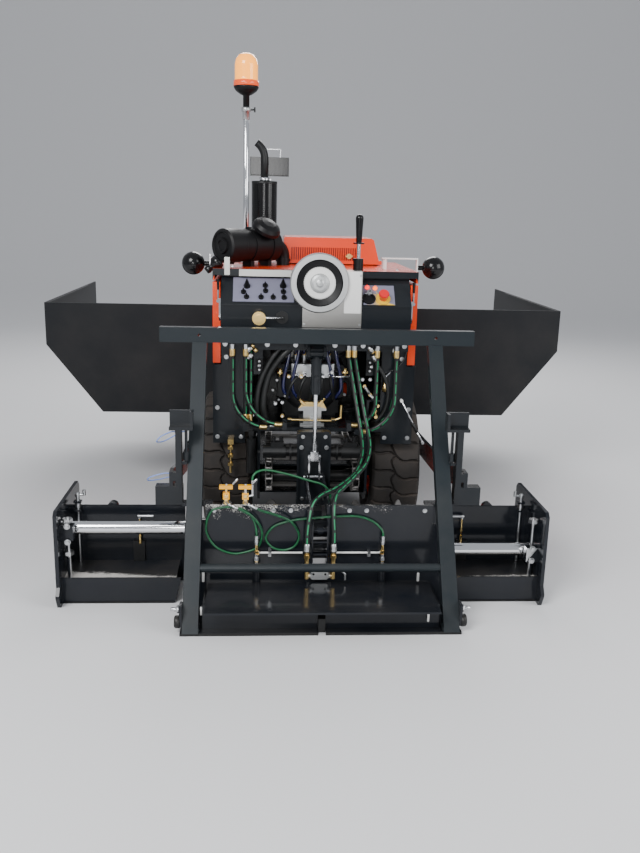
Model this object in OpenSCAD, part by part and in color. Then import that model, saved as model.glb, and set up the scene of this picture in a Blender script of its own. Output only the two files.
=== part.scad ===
// Compact wheeled asphalt paver with an extending screed.
// Millimetres. X points right, Y forward, Z up. The origin is on the ground, in the middle of the outline.

/* [Chassis] */
// Half distance between the inner faces of the side rails
rail_in = 250; // [246:1:256]
// Thickness of the rails and the other heavy plates
plate_t = 12; // [10:1:14]
// Thickness of the sheet panels
sheet_t = 8; // [6:1:9]
// Height of the rails' lower edge
rail_low = 240; // [234:1:246]
// Height of the hopper's floor
floor_z = 500; // [496:1:506]
// Half width of the body
body_half = 470; // [466:1:474]
// Distance from the origin back to the body's rear plates
body_back = 760; // [756:1:764]
// Height of the deck
deck_z = 1340; // [1336:1:1346]
// Height of the hood above the deck
hood_h = 133; // [110:1:140]

/* [Wheels] */
// Diameter of the rear tyres over their tread blocks
rear_d = 700; // [684:2:704]
// Width of the rear tyres
rear_w = 240; // [224:2:244]
// Number of tread blocks round each rear tyre
lug_count = 30; // [24:1:34]
// Diameter of the front wheels
front_d = 450; // [436:2:454]
// Width of the front wheels
front_w = 180; // [160:2:184]
// Distance from the origin forward to the front axle
front_axle_y = 950; // [940:1:960]

/* [Hopper] */
// Half width over the open hopper wings
wing_half = 1420; // [1390:5:1430]
// Height of the wings' upper edge
wing_top = 1090; // [1060:5:1095]
// Half width of the wings' flat floor
wing_flat = 1128; // [1110:2:1140]
// Thickness of the wings' plate
wing_t = 10; // [8:1:12]
// Distance from the origin forward to the wings' front edge
wing_front = 1440; // [1430:1:1442]
// Diameter of the push rollers
roller_d = 120; // [100:2:124]

/* [Screed] */
// Half width of the main screed
screed_half = 550; // [546:1:554]
// Height of the main screed's rear box
box_h = 110; // [100:1:114]
// Half distance between the centres of the frame's posts
post_x = 510; // [508:1:512]
// Width of the frame's posts
post_w = 62; // [58:1:66]
// Half length of the frame's crossbar
cross_half = 680; // [640:5:700]
// Height of the crossbar's centre
cross_z = 1076; // [1070:1:1080]
// Distance from the centre to the left extension's outer face
left_reach = 1070; // [1062:1:1080]
// Distance from the centre to the right extension's outer face
right_reach = 950; // [944:1:958]
// Diameter of the extensions' guide tubes
guide_d = 56; // [50:1:58]
// Diameter of the augers
auger_d = 200; // [180:2:204]

/* [Lamps and exhaust] */
// Diameter of the exhaust's heat shield
shield_d = 128; // [112:2:132]
// Diameter of the console lamp's outer ring
lamp_d = 264; // [240:2:270]
// Diameter of the beacon's base
beacon_d = 120; // [110:1:130]
// Height of the beacon's top
beacon_top = 2320; // [2300:1:2340]

/* [Hidden] */
$fn = 48;

// Colours of the paints and metals
paint = "#2b3138";
orange = "#e8380d";
black = "#15161a";
rubber = "#1d1d1f";
chrome = "#c9ccd0";
zinc = "#a7abae";
yellow = "#e7b416";
green = "#1f7a3c";
blue = "#6f86b4";
amber = "#f28a12";

// Running gaps: between moving pieces, and round pins and tubes that slide
gap = 5;
slip = 0.5;

// Pins of the doors' and the hood's hinges
hinge_pin_d = 7;

// Rails
rail_out = rail_in + plate_t;
rail_top = floor_z - plate_t;
rail_back = 780;
beam_y = 1545;
pan_z = 388;

// Tow points of the screed, and the place of its arms
tow_y = 350;
tow_z = 360;
tow_pin_d = 40;
arm_in = 600;
arm_t = 15;

// Hopper wings: hinge, rear plate and chamfer, and the cylinder's two pins
hinge_x = body_half - 8;
hinge_z = floor_z - plate_t;
hinge_d = 28;
wing_pin_d = 14;
wall_y = 20;
wing_y = wall_y + plate_t + 8;
chamfer_z = 862;
cyl_y = 580;
cyl_pin = [330, 236];
eye_pin = [905, 448];
eye_drift = [-13, -6];
cyl_pin_d = 20;
// Wing hinge segments along Y: where each starts and ends, and 1 if the wing carries it
hinge_rows = [[60, 300, 0], [302, 420, 1], [422, 660, 0], [662, 900, 1], [902, 1140, 0], [1142, 1380, 1]];

// Wheels
rear_y = -400;
rear_x = rail_out + 28 + rear_w / 2;
rim_r = 190;
hub_shaft_d = 60;
front_x = 455;
king_x = 330;
spindle_d = 40;

// Conveyor loop
chain_back = -725;
chain_front = 1345;
chain_z = 360;
chain_r = 75;

// Auger and its case
auger_y = -920;
auger_z = 200;
auger_shaft_d = 30;
auger_half = screed_half - 60;
case_half = 70;
case_back = -865;
flight_x = case_half + 14;

// Lift cylinder
lift_y = -905;
lift_top = 985;
lift_low = 410;
lift_pin_d = 16;

// Exhaust, air cleaner, and the beacon's pole
exhaust_x = -240;
exhaust_y = -200;
cleaner_at = [-430, -660];
cleaner_turn = 43.6;
beacon_x = 140 - body_half;

// Slope of the console: its lower edge, rise and run
slope_low = [-830, 1190];
slope_run = [108, 115];

// Body levels
arch_z = 735;
door_low = 910;
door_high = deck_z - 60;
door_front = -38;
door_back = sheet_t + gap - body_back;
panel_front = 20;
console_half = 430;
bay_half = 322;

// Screed
main_back = -1620;
main_front = -1392;
wall_top = 440;
ext_back = -1365;
ext_front = -1140;
ext_h = 112;
ext_len = 485;
guide_y = -1260;
guide_left_z = 295;
guide_right_z = 198;
guide_wall = 12;
post_foot = [-1650, 0];
cross_h = 64;
post_head = [-1000, cross_z - cross_h / 2];
wall_gap = 28;
burner_x = 258;
burner_y = -1418;
step_front = -1440;

// A box given by its spans along X, Y and Z
module bx(x, y, z) {
    translate([x[0], y[0], z[0]]) cube([x[1] - x[0], y[1] - y[0], z[1] - z[0]]);
}

// A round bar along X, Y or Z, from one coordinate to another
module bar_x(x, y, z, d) {
    translate([x[0], y, z]) rotate([0, 90, 0]) cylinder(d = d, h = x[1] - x[0]);
}

module bar_y(x, y, z, d) {
    translate([x, y[0], z]) rotate([-90, 0, 0]) cylinder(d = d, h = y[1] - y[0]);
}

module bar_z(x, y, z, d) {
    translate([x, y, z[0]]) cylinder(d = d, h = z[1] - z[0]);
}

// A plate cut to an outline of [y, z] points, from x to x + t
module plate_yz(x, t, points) {
    translate([x, 0, 0]) rotate([90, 0, 90]) linear_extrude(t) polygon(points);
}

// A plate cut to an outline of [x, z] points, from y to y + t
module plate_xz(y, t, points) {
    translate([0, y + t, 0]) rotate([90, 0, 0]) linear_extrude(t) polygon(points);
}

// The children on the right, and mirrored on the left
module both() {
    children();
    mirror([1, 0, 0]) children();
}

module left() mirror([1, 0, 0]) children();

// A round tube along a route of points, with a ball at each bend
module pipe(points, d) {
    for (i = [0:len(points) - 2]) {
        v = points[i + 1] - points[i];
        translate(points[i]) rotate([0, acos(v[2] / norm(v)), atan2(v[1], v[0])])
            cylinder(d = d, h = norm(v));
        if (i > 0) translate(points[i]) sphere(d = d * 1.2);
    }
}

// A bent tube in the plane of X and Z round [x, z], from angle a0 to a1
module bend_xz(x, y, z, r, a0, a1, d) {
    translate([x, y, z]) rotate([90, 0, 0]) rotate([0, 0, a0])
        rotate_extrude(angle = a1 - a0) translate([r, 0]) circle(d = d);
}

// A hose swept along hand-chosen points; side is a direction that no part of the route follows
module hose(points, d, side) {
    n = len(points);
    k = 8;
    ring = [for (i = [0:n - 1])
        let (t = points[min(i + 1, n - 1)] - points[max(i - 1, 0)], u = cross(side, t) / norm(cross(side, t)),
            w = cross(t, u) / norm(t))
        for (j = [0:k - 1]) points[i] + d / 2 * (cos(360 * j / k) * u + sin(360 * j / k) * w)];
    sides = [for (i = [0:n - 2]) for (j = [0:k - 1])
        let (a = i * k + j, b = i * k + (j + 1) % k)
        each [[a, a + k, b + k], [a, b + k, b]]];
    polyhedron(ring, concat(sides, [[for (j = [0:k - 1]) j]], [[for (j = [0:k - 1]) n * k - 1 - j]]));
}

module chassis_frame() color(paint) {
    both() {
        plate_yz(rail_in, plate_t, [
            [-rail_back, rail_low + 60], [-rail_back, rail_top], [beam_y, rail_top], [beam_y, rail_low + 70],
            [beam_y - 90, rail_low], [-rail_back + 60, rail_low]
        ]);
        // Tow point: stub tube, flange and pin
        bar_x([rail_in + 2, arm_in - gap], tow_y, tow_z, 70);
        bar_x([rail_in + 2, rail_out + 14], tow_y, tow_z, 110);
        bar_x([rail_in + 2, arm_in + arm_t + 12], tow_y, tow_z, tow_pin_d);
        bar_x([arm_in + arm_t + 2, arm_in + arm_t + 10], tow_y, tow_z, tow_pin_d + 26);
        // Lugs and pin of the wing cylinder
        for (y = [cyl_y - 28, cyl_y + 18])
            bx([rail_in + 2, cyl_pin[0] + 20], [y, y + 10], [rail_low, cyl_pin[1] + 22]);
        bar_y(cyl_pin[0], [cyl_y - 30, cyl_y + 30], cyl_pin[1], cyl_pin_d);
        // Stiffener along the rail's lower edge
        bx([rail_out - 1, rail_out + 16], [60, cyl_y - 60], [rail_low, rail_low + 10]);
    }
    // Belly plate, conveyor pan and front cross plate
    bx([-rail_in - 1, rail_in + 1], [-620, beam_y - 60], [rail_low, rail_low + sheet_t]);
    bx([-rail_in - 1, rail_in + 1], [chain_back + 70, chain_front - 70], [pan_z, pan_z + sheet_t]);
    bx([-rail_in - 1, rail_in + 1], [beam_y - plate_t, beam_y], [rail_low + 70, rail_top]);
    // Lugs and pivot pin of the front axle
    for (y = [front_axle_y - 45, front_axle_y + 33])
        plate_xz(y, 12, [[-60, rail_low + 1], [60, rail_low + 1], [40, 178], [-40, 178]]);
    bar_y(0, [front_axle_y - 50, front_axle_y + 50], 203, 30);
}

module body_panels() color(paint) {
    both() {
        // Inner wall, roof and outer wall of the rear wheel's arch
        bx([rail_in, rail_out], [-body_back, wall_y], [rail_top, arch_z + sheet_t]);
        bx([rail_in, body_half], [-body_back, wall_y], [arch_z, arch_z + sheet_t]);
        bx([body_half - sheet_t, body_half], [-body_back, wall_y], [arch_z, door_low - gap]);
        difference() {
            bx([body_half - sheet_t, body_half], [door_front + gap, wall_y], [arch_z, door_high + 5]);
            for (z = [door_low + 30, door_high - 92])
                bx([body_half - sheet_t - 1, body_half + 1], [door_front, -8], [z, z + 62]);
        }
        // Rear plate beside the hydraulics, and the catch bracket inside it
        bx([bay_half, body_half], [-body_back, -body_back + sheet_t], [530, door_low - gap]);
        bx([bay_half, body_half - 40], [-body_back, -body_back + sheet_t], [530, 1030]);
        bx([bay_half - sheet_t, bay_half + 1], [-body_back, -body_back + 30], [606, 1030]);
        bx([240, 282], [-body_back - 10, -body_back - 2], [862, 990]);
        // Corner posts that carry the deck
        for (y = [-712, wall_y - 36])
            bx([392, 420], [y, y + 30], [arch_z, deck_z - sheet_t]);
        // Door hinge leaves on the body
        for (z = [door_low + 92, door_high - 121]) {
            bx([body_half - 2, body_half + 6], [-22, wall_y - 4], [z, z + 28]);
            bar_z(body_half + 6, -22, [z, z + 28], 16);
        }
        bar_z(body_half + 6, -22, [door_low + 31, door_high - 31], hinge_pin_d);
    }
    // Engine floor with its sill, and the wall towards the hopper
    bx([-rail_in - 1, rail_in + 1], [-740, wall_y], [588, 600]);
    bx([-bay_half - 1, bay_half + 1], [-body_back, -740], [588, 606]);
    plate_xz(wall_y - sheet_t, sheet_t, [
        [-rail_in - 1, 590], [-rail_in - 1, arch_z], [-body_half, arch_z], [-body_half, door_high + 5],
        [sheet_t - body_half, door_high + 5], [sheet_t - body_half, deck_z - sheet_t],
        [body_half - sheet_t, deck_z - sheet_t], [body_half - sheet_t, door_high + 5],
        [body_half, door_high + 5], [body_half, arch_z], [rail_in + 1, arch_z], [rail_in + 1, 590]
    ]);
    // Rear cross beam and the lugs of the lift cylinder
    bx([40 - body_half, body_half - 40], [-body_back - 30, -body_back + 1], [980, 1030]);
    difference() {
        for (x = [-42, 30]) plate_yz(x, 12, [
            [-body_back, lift_top + 45], [-body_back, lift_top - 45], [lift_y - 10, lift_top - 28],
            [lift_y - 28, lift_top - 12], [lift_y - 28, lift_top + 12], [lift_y - 10, lift_top + 28]
        ]);
        bar_x([-50, 50], lift_y, lift_top, 24 + 2 * slip);
    }
}

module hopper_trough() color(paint) {
    both() {
        bx([rail_in - 2, hinge_x - 17], [wall_y + plate_t, wing_front + 10], [rail_top, floor_z]);
        // Chain guard along the conveyor
        translate([0, wing_front + 10, 0]) rotate([90, 0, 0])
            linear_extrude(wing_front - wall_y - plate_t + 10)
            polygon([[rail_in, floor_z], [rail_in, rail_top], [188, 450], [188, 462]]);
        for (row = hinge_rows) if (row[2] == 0) {
            bar_y(hinge_x, [row[0], row[1]], hinge_z, hinge_d);
            bx([hinge_x - 20, hinge_x], [row[0], row[1]], [hinge_z, floor_z]);
        }
        bar_y(hinge_x, [60, 1380], hinge_z, wing_pin_d);
    }
    // Rear wall with the conveyor's tunnel
    plate_xz(wall_y, plate_t, [
        [-445, rail_top], [-445, wing_top], [445, wing_top], [445, rail_top],
        [rail_in, rail_top], [rail_in, 620], [-rail_in, 620], [-rail_in, rail_top]
    ]);
}

module loop_outline(r) {
    for (y = [chain_back, chain_front]) translate([y, chain_z]) circle(r);
    translate([chain_back, chain_z - r]) square([chain_front - chain_back, 2 * r]);
}

module conveyor() color(zinc) {
    both() {
        difference() {
            translate([190, 0, 0]) rotate([90, 0, 90]) linear_extrude(35) loop_outline(chain_r);
            translate([189, 0, 0]) rotate([90, 0, 90]) linear_extrude(37) loop_outline(chain_r - 15);
        }
        for (y = [chain_back, chain_front]) bar_x([196, 218], y, chain_z, 2 * chain_r - 20);
    }
    for (y = [chain_back, chain_front]) bar_x([-rail_in, rail_in], y, chain_z, 50);
    for (i = [0:9]) for (z = [chain_z - chain_r, chain_z + chain_r - 14])
        bx([-191, 191], [chain_back + 60 + i * 208, chain_back + 95 + i * 208], [z, z + 14]);
}

module front_beam() color(paint) {
    bx([-430, 430], [beam_y, beam_y + 45], [380, 520]);
    both() for (x = [62, 418]) plate_yz(x, plate_t, [
        [beam_y + 44, 500], [beam_y + 44, 395], [beam_y + 100, 415], [beam_y + 135, 432],
        [beam_y + 135, 468], [beam_y + 100, 485]
    ]);
    // Pins of the push rollers
    both() bar_x([60, 432], beam_y + 115, 450, 24);
    // Apron in front of the hopper, and its gussets
    plate_yz(-445, 890, [
        [wing_front + 10, rail_top], [wing_front + 10, floor_z], [1560, 600], [1566, 590],
        [wing_front + 24, rail_top]
    ]);
    both() plate_yz(rail_in, plate_t, [
        [wing_front + 20, rail_top], [beam_y + 10, rail_top], [beam_y + 10, 585], [1540, 580]
    ]);
}

module engine() color(black) {
    bx([-200, 200], [-500, -90], [600, 1080]);
}

module hydraulics() color(zinc) {
    // Gear pump on its bracket, with two ports and the pipe below them
    plate_xz(-720, 40, [[-70, 690], [-46, 722], [46, 722], [63, 690], [63, 680], [-70, 680]]);
    bx([-45, 40], [-712, -560], [612, 690]);
    bx([-60, 55], [-700, -500], [600, 614]);
    for (x = [-38, 22]) translate([x, -715, 706]) rotate([0, x < 0 ? -45 : 45, 0]) {
        cylinder(d = 22, h = 30, $fn = 6);
        cylinder(d = 13, h = 46);
    }
    pipe([[-112, -738, 640], [95, -738, 636], [130, -738, 650], [133, -738, 712]], 12);
    for (x = [-112, 95]) bar_x([x - 9, x + 9], -738, 640, 22);
    bx([-14, 14], [-742, -700], [626, 652]);
    // Valve bank on the back of the engine, with a hexagon and a nipple at each port
    bx([-150, 150], [-560, -500], [850, 874]);
    bx([-104, 96], [-700, -560], [834, 904]);
    for (x = [-92, -52, -12, 28, 68]) {
        bar_y(x + 8, [-722, -699], 886, 26);
        translate([x + 8, -728, 852]) rotate([-90, 0, 0]) cylinder(d = 24, h = 30, $fn = 6);
        bar_z(x + 8, -640, [903, 934], 22);
    }
    for (x = [-128, 95]) bar_x([x, x + 33], -690, 866, 18);
    // Brackets and nuts of the bay's hoses: place along X and height
    for (x = [-378, -318, 152, 180, 286, 374])
        translate([x, -802, 986]) cylinder(d = 26, h = 22, $fn = 6);
    for (x = [[-392, -304], [138, 194], [272, 388]])
        bx([x[0], x[1]], [-816, -body_back - 30], [1007, 1015]);
    // End fittings of the bay's hoses: left edge and right edge along X, front edge, and height
    for (f = [[-218, -206, -750, 606, 628], [-148, -126, -750, 606, 642], [-330, -284, -body_back, 592, 640],
              [192, 214, -body_back, 588, 612], [154, 176, -750, 606, 642]])
        bx([f[0], f[1]], [f[2] == -750 ? -813 : f[0] == 192 ? -813 : -787, f[2]], [f[3], f[4]]);
    // Grease manifold below the left plate
    bx([-400, -374], [-800, -body_back], [532, 556]);
    pipe([[-387, -788, 534], [-387, -788, 392]], 11);
    for (z = [428, 470, 508]) bx([-400, -376], [-800, -776], [z, z + 14]);
    // Hanging accumulator
    bx([-304, -280], [-800, -body_back], [574, 600]);
    bar_z(-292, -792, [562, 576], 20);
    bar_z(-292, -792, [396, 563], 46);
}

module auger_case() color(paint) {
    bx([-case_half, case_half], [case_back, case_back + 50], [260, 612]);
    both() bx([case_half - 1, case_half + 8], [case_back - 10, case_back + 60], [262, 606]);
    bx([-case_half, case_half], [case_back + 49, -body_back], [588, 600]);
    plate_xz(auger_y - 34, case_back + 84 - auger_y, [[-38, 261], [-38, 160], [-20, 140], [20, 140],
        [38, 160], [38, 261]]);
    bar_x([-auger_half, auger_half], auger_y, auger_z, auger_shaft_d);
}

module drive_motors() color(black) both() {
    // Hub motor of the rear wheel
    bar_x([rail_out, rail_out + 30], rear_y, rear_d / 2, 230);
    bar_x([rail_out + 29, rear_x + 4], rear_y, rear_d / 2, 170);
    bar_x([rail_out + 29, rear_x + 50], rear_y, rear_d / 2, hub_shaft_d);
    // Auger motor beside the case, with its port block
    bar_x([case_half + 8, 131], -840, 512, 46);
    bar_x([104, 112], -840, 512, 76);
    bar_x([130, 236], -840, 512, 62);
    bx([140, 200], [-858, -822], [536, 560]);
    for (x = [152, 186]) bar_z(x, -840, [559, 582], 17);
}

module front_axle() color(paint) {
    difference() {
        union() {
            plate_xz(front_axle_y - 25, 50, [
                [-300, 200], [-240, 232], [240, 232], [300, 200], [300, 150], [240, 172], [-240, 172],
                [-300, 150]
            ]);
            both() {
                bx([284, 300], [front_axle_y - 25, front_axle_y + 25], [118, 332]);
                for (z = [118, 302]) {
                    bx([284, king_x], [front_axle_y - 25, front_axle_y + 25], [z, z + 30]);
                    bar_z(king_x, front_axle_y, [z, z + 30], 50);
                }
            }
        }
        bar_y(0, [front_axle_y - 60, front_axle_y + 60], 203, 30.6);
        both() bar_z(king_x, front_axle_y, [100, 350], 25);
    }
}

module knuckle() color(paint) {
    bar_z(king_x, front_axle_y, [153, 297], 50);
    bar_z(king_x, front_axle_y, [112, 338], 24);
    bar_x([king_x, front_x + 8], front_axle_y, front_d / 2, spindle_d);
}

module front_wheel() color(rubber) translate([front_x, front_axle_y, front_d / 2]) rotate([0, 90, 0])
    difference() {
        rotate_extrude() {
            r = front_d / 2;
            h = front_w / 2;
            polygon([[132, -h], [r - 12, -h], [r, 12 - h], [r, h - 12], [r - 12, h], [132, h]]);
            translate([118, -h + 8]) square([15, front_w - 16]);
            translate([39, 4]) square([80, 12]);
            translate([spindle_d / 2 + slip, -50]) square([20, 66]);
            translate([0, 15]) square([40, 12]);
        }
        for (i = [0:4]) rotate(i * 72) translate([84, 0, 0]) cylinder(d = 34, h = 40);
    }

module rear_tyre() color(rubber) translate([rear_x, rear_y, rear_d / 2]) rotate([0, 90, 0]) {
    h = rear_w / 2;
    r = rear_d / 2 - 16;
    rotate_extrude() polygon([
        [rim_r, 25 - h], [230, 4 - h], [290, -h], [r - 8, 10 - h], [r, 22 - h],
        [r, h - 22], [r - 8, h - 10], [290, h], [230, h - 4], [rim_r, h - 25]
    ]);
    // Two bands of tread blocks, half a pitch apart
    for (side = [0, 1]) translate([0, 0, side == 0 ? 14 - h : 6]) linear_extrude(h - 20)
        difference() {
            intersection() {
                circle(rear_d / 2);
                for (i = [0:lug_count - 1]) rotate((i + side / 2) * 360 / lug_count)
                    polygon([[0, 0], [400, -1020 / lug_count], [400, 1020 / lug_count]]);
            }
            circle(r - 5);
        }
}

module rear_rim() color(orange) translate([rear_x, rear_y, rear_d / 2]) rotate([0, 90, 0])
    difference() {
        rotate_extrude() {
            h = rear_w / 2;
            translate([rim_r - 12, 27 - h]) square([12, rear_w - 54]);
            translate([hub_shaft_d / 2 + slip, 10]) square([rim_r - 11 - hub_shaft_d / 2 - slip, 14]);
            translate([hub_shaft_d / 2 + slip, 20]) square([25, 40]);
            translate([0, 51]) square([40, 9]);
        }
        for (i = [0:7]) rotate(i * 45) translate([120, 0, 0]) cylinder(d = 40, h = 60);
    }

module auger() color(zinc) difference() {
    union() {
        bar_x([38 + gap, auger_half + 10], auger_y, auger_z, 50);
        translate([flight_x, auger_y, auger_z]) rotate([0, 90, 0])
            linear_extrude(auger_half - flight_x, twist = 720, slices = 40, segments = 8) difference() {
                translate([0, -8]) square([auger_d / 2, 16]);
                translate([-1, -9]) square([19, 18]);
            }
    }
    bar_x([30, auger_half + 1], auger_y, auger_z, auger_shaft_d + 2 * slip);
}

// The children stand on the console's slope: X along it, Y up it, Z out of it
module on_slope() {
    translate([0, slope_low[0], slope_low[1]]) rotate([atan2(slope_run[1], slope_run[0]), 0, 0]) children();
}

module console() color(paint) {
    y = slope_low[0];
    z = slope_low[1];
    outer = [
        [y, 1030], [y, z], [y + slope_run[0], z + slope_run[1]], [y + slope_run[0], deck_z - sheet_t],
        [-700, deck_z - sheet_t], [-700, 1030]
    ];
    inner = [
        [y + 6, 1029], [y + 6, z - 3], [y + slope_run[0] + 6, z + slope_run[1] - 3],
        [y + slope_run[0] + 6, deck_z + 1], [-699, deck_z + 1], [-699, 1029]
    ];
    difference() {
        plate_yz(-console_half, 2 * console_half, outer);
        plate_yz(6 - console_half, 2 * console_half - 12, inner);
    }
    // Folded lip along the slope's lower edge
    for (x = [[8 - console_half, -66], [204, console_half - 8]]) bx(x, [y - 4, y + 1], [z - 7, z - 1]);
}

// Toggle switches on the slope: place along X, up the slope, and 1 for a tall rubber boot
toggles = [
    [-314, 100, 1], [-151, 104, 1], [-329, 66, 0], [-315, 38, 0], [-232, 104, 0], [-230, 74, 0],
    [-250, 38, 0], [-196, 38, 0], [-150, 70, 0], [-147, 38, 0]
];

module controls() color(chrome) {
    on_slope() {
        // Blank plates
        bx([-376, -102], [14, 150], [0, 2]);
        bx([211, 355], [8, 118], [0, 2]);
        for (t = toggles) translate([t[0], t[1], 1]) {
            cylinder(d = t[2] == 1 ? 30 : 24, h = 8);
            translate([0, 0, 7]) cylinder(d1 = t[2] == 1 ? 28 : 9, d2 = 6, h = t[2] == 1 ? 44 : 22);
        }
        // Two lamps, key switch, ring dial and stop button
        for (p = [[232, 104], [268, 100]]) translate([p[0], p[1], 1]) {
            cylinder(d = 20, h = 6);
            translate([0, 0, 8]) sphere(d = 16);
        }
        translate([242, 76, 1]) cylinder(d = 24, h = 10);
        bx([240, 244], [68, 84], [10, 30]);
        translate([236, 40, 1]) difference() {
            cylinder(d = 60, h = 9);
            translate([0, 0, 2]) cylinder(d = 48, h = 9);
        }
        translate([302, 42, 1]) {
            cylinder(d = 66, h = 5);
            cylinder(d1 = 32, d2 = 48, h = 38);
            translate([0, 0, 37]) cylinder(d1 = 48, d2 = 42, h = 6);
        }
    }
    // Zinc strip above the slope
    bx([-350, -70], [-746, -742], [1308, deck_z - 2]);
    // Pull handle with its knob, and the hole's collar
    bar_y(-155, [-836, slope_low[0]], 1134, 56);
    bar_y(-155, [-862, -835], 1134, 14);
    bar_x([-262, -148], -858, 1134, 12);
    bar_y(-258, [-884, -850], 1134, 60);
    bar_y(-258, [-890, -883], 1134, 34);
    // Travel lever: boot, rod, collar and grip
    bar_z(194, -700, [deck_z, deck_z + 54], 46);
    bar_z(194, -700, [deck_z + 53, deck_z + 122], 18);
    bar_z(194, -700, [deck_z + 120, deck_z + 126], 52);
    translate([194, -700, deck_z + 125]) cylinder(d1 = 26, d2 = 36, h = 110);
    translate([194, -700, deck_z + 234]) sphere(d = 36);
    // Toggle latches on the console's sides, with two grips above
    both() {
        bx([console_half, console_half + 9], [-806, -780], [1112, 1212]);
        bar_y(console_half + 12, [-804, -782], 1200, 16);
        for (y = [-800, -786]) {
            bar_z(console_half + 12, y, [1200, 1252], 7);
            translate([console_half + 12, y, 1250]) cylinder(d1 = 9, d2 = 13, h = 46);
        }
    }
    // Slotted strap at the left end
    bx([-416, -392], [-748, -742], [1312, 1391]);
}

module deck() color(orange) {
    difference() {
        bx([-body_half, body_half], [-742, panel_front], [deck_z - sheet_t, deck_z]);
        bx([-120, 335], [-280, 0], [deck_z - 20, deck_z + 1]);
    }
    both() bx([body_half - sheet_t, body_half], [-742, panel_front], [deck_z - 52, deck_z]);
    bx([-body_half, body_half], [-742, -742 + sheet_t], [deck_z - 30, deck_z]);
    // Hood hinge knuckles on the deck
    for (x = [-60, 230]) {
        bx([x, x + 40], [panel_front - 2, panel_front + 10], [deck_z - 8, deck_z + 10]);
        bar_x([x, x + 40], panel_front + 8, deck_z + 10, 14);
    }
    bar_x([-103, 313], panel_front + 8, deck_z + 10, hinge_pin_d);
}

module hood() color(orange) difference() {
    union() {
        hood_shell();
        for (x = [-103, -17, 187, 273]) {
            bar_x([x, x + 40], panel_front + 8, deck_z + 10, 14);
            bx([x, x + 40], [panel_front - 4, panel_front + 8], [deck_z + gap, deck_z + 17]);
        }
        // Latch on the rear face
        bar_y(188, [-318, -299], deck_z + 44, 26);
        bx([170, 206], [-316, -299], [deck_z + 40, deck_z + 48]);
    }
    bar_x([-110, 320], panel_front + 8, deck_z + 10, hinge_pin_d + 2 * slip);
}

module hood_shell() {
    z = deck_z + gap;
    top = deck_z + hood_h;
    difference() {
        plate_xz(-300, 320, [
            [-140, z], [-140, top - 8], [-132, top], [298, top], [312, top - 8], [340, z + 18], [355, z + 18],
            [355, z]
        ]);
        plate_xz(-294, 308, [
            [-134, z - 5], [-134, top - 11], [-129, top - 6], [295, top - 6], [307, top - 12], [335, z + 12],
            [349, z + 12], [349, z - 5]
        ]);
        // Vertical louvre slots in the rear face
        for (i = [0:29]) bx([-102 + i * 11, -97 + i * 11], [-301, -290], [deck_z + 22, deck_z + 84]);
        // Room for the knuckles on the deck
        for (x = [-60, 230]) bx([x - 3, x + 43], [0, 21], [deck_z, deck_z + 21]);
    }
}

module door() color(orange) difference() {
    union() {
        difference() {
            bx([body_half - 35, body_half], [door_back, door_front], [door_low, door_high]);
            bx([body_half - 36, body_half - sheet_t], [door_back + sheet_t, door_front - sheet_t],
                [door_low + sheet_t, door_high - sheet_t]);
            // Louvre slots and the handle's cup
            for (i = [0:6])
                bx([body_half - 40, body_half + 1], [-500, -250],
                    [door_low + 90 + i * 28, door_low + 100 + i * 28]);
            bar_x([body_half - 5, body_half + 1], -body_back + 70, (door_low + door_high) / 2, 64);
        }
        bx([body_half - 6, body_half - 1], [-body_back + 64, -body_back + 76],
            [(door_low + door_high) / 2 - 26, (door_low + door_high) / 2 + 26]);
        for (z = [door_low + 31, door_high - 91]) {
            bx([body_half - 2, body_half + 6], [door_front - 10, -22], [z, z + 60]);
            bar_z(body_half + 6, -22, [z, z + 60], 16);
        }
    }
    bar_z(body_half + 6, -22, [door_low, door_high], hinge_pin_d + 2 * slip);
}

module air_cleaner() color(black) {
    z = deck_z + 97;
    translate([cleaner_at[0], cleaner_at[1], z]) rotate([0, 90, cleaner_turn]) {
        // End cover with its ring and boss, body, shoulder and straps
        rotate_extrude() polygon([
            [0, 0], [22, 0], [26, -6], [34, -6], [38, 4], [58, 4], [62, -2], [70, -2], [78, 6], [78, 92],
            [74, 96],
            [74, 318], [60, 328], [36, 332], [0, 332]
        ]);
        for (h = [150, 262]) translate([0, 0, h]) {
            cylinder(d = 156, h = 26);
            translate([-84, -9, 3]) cube([14, 18, 20]);
        }
        // Dust valve
        translate([72, 0, 50]) rotate([0, 90, 0]) cylinder(d1 = 46, d2 = 34, h = 12);
        // Outlet bend and its clamp
        translate([60, 0, 332]) rotate([90, 0, 0]) rotate([0, 0, 90]) rotate_extrude(angle = 90)
            translate([60, 0]) circle(d = 64);
        translate([60, 0, 392]) rotate([0, 90, 0]) cylinder(d = 64, h = z - deck_z - 60);
        translate([66, 0, 392]) rotate([0, 90, 0]) cylinder(d = 74, h = 14);
        // Inlet stack with its rain cap
        translate([0, 0, 226]) rotate([0, 0, 35]) rotate([0, -90, 0]) {
            translate([0, 0, 60]) cylinder(d = 60, h = 44);
            translate([0, 0, 79]) cylinder(d = 68, h = 8);
            translate([0, 0, 88]) rotate_extrude() polygon([
                [0, 10], [58, 10], [60, 0], [67, 0], [68, 16], [58, 32], [36, 43], [0, 48]
            ]);
        }
    }
    // Straps' feet on the deck
    for (h = [163, 275])
        translate([cleaner_at[0] + h * cos(cleaner_turn), cleaner_at[1] + h * sin(cleaner_turn), deck_z])
            rotate(cleaner_turn) translate([-11, -30, 0]) cube([22, 60, 30]);
}

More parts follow.
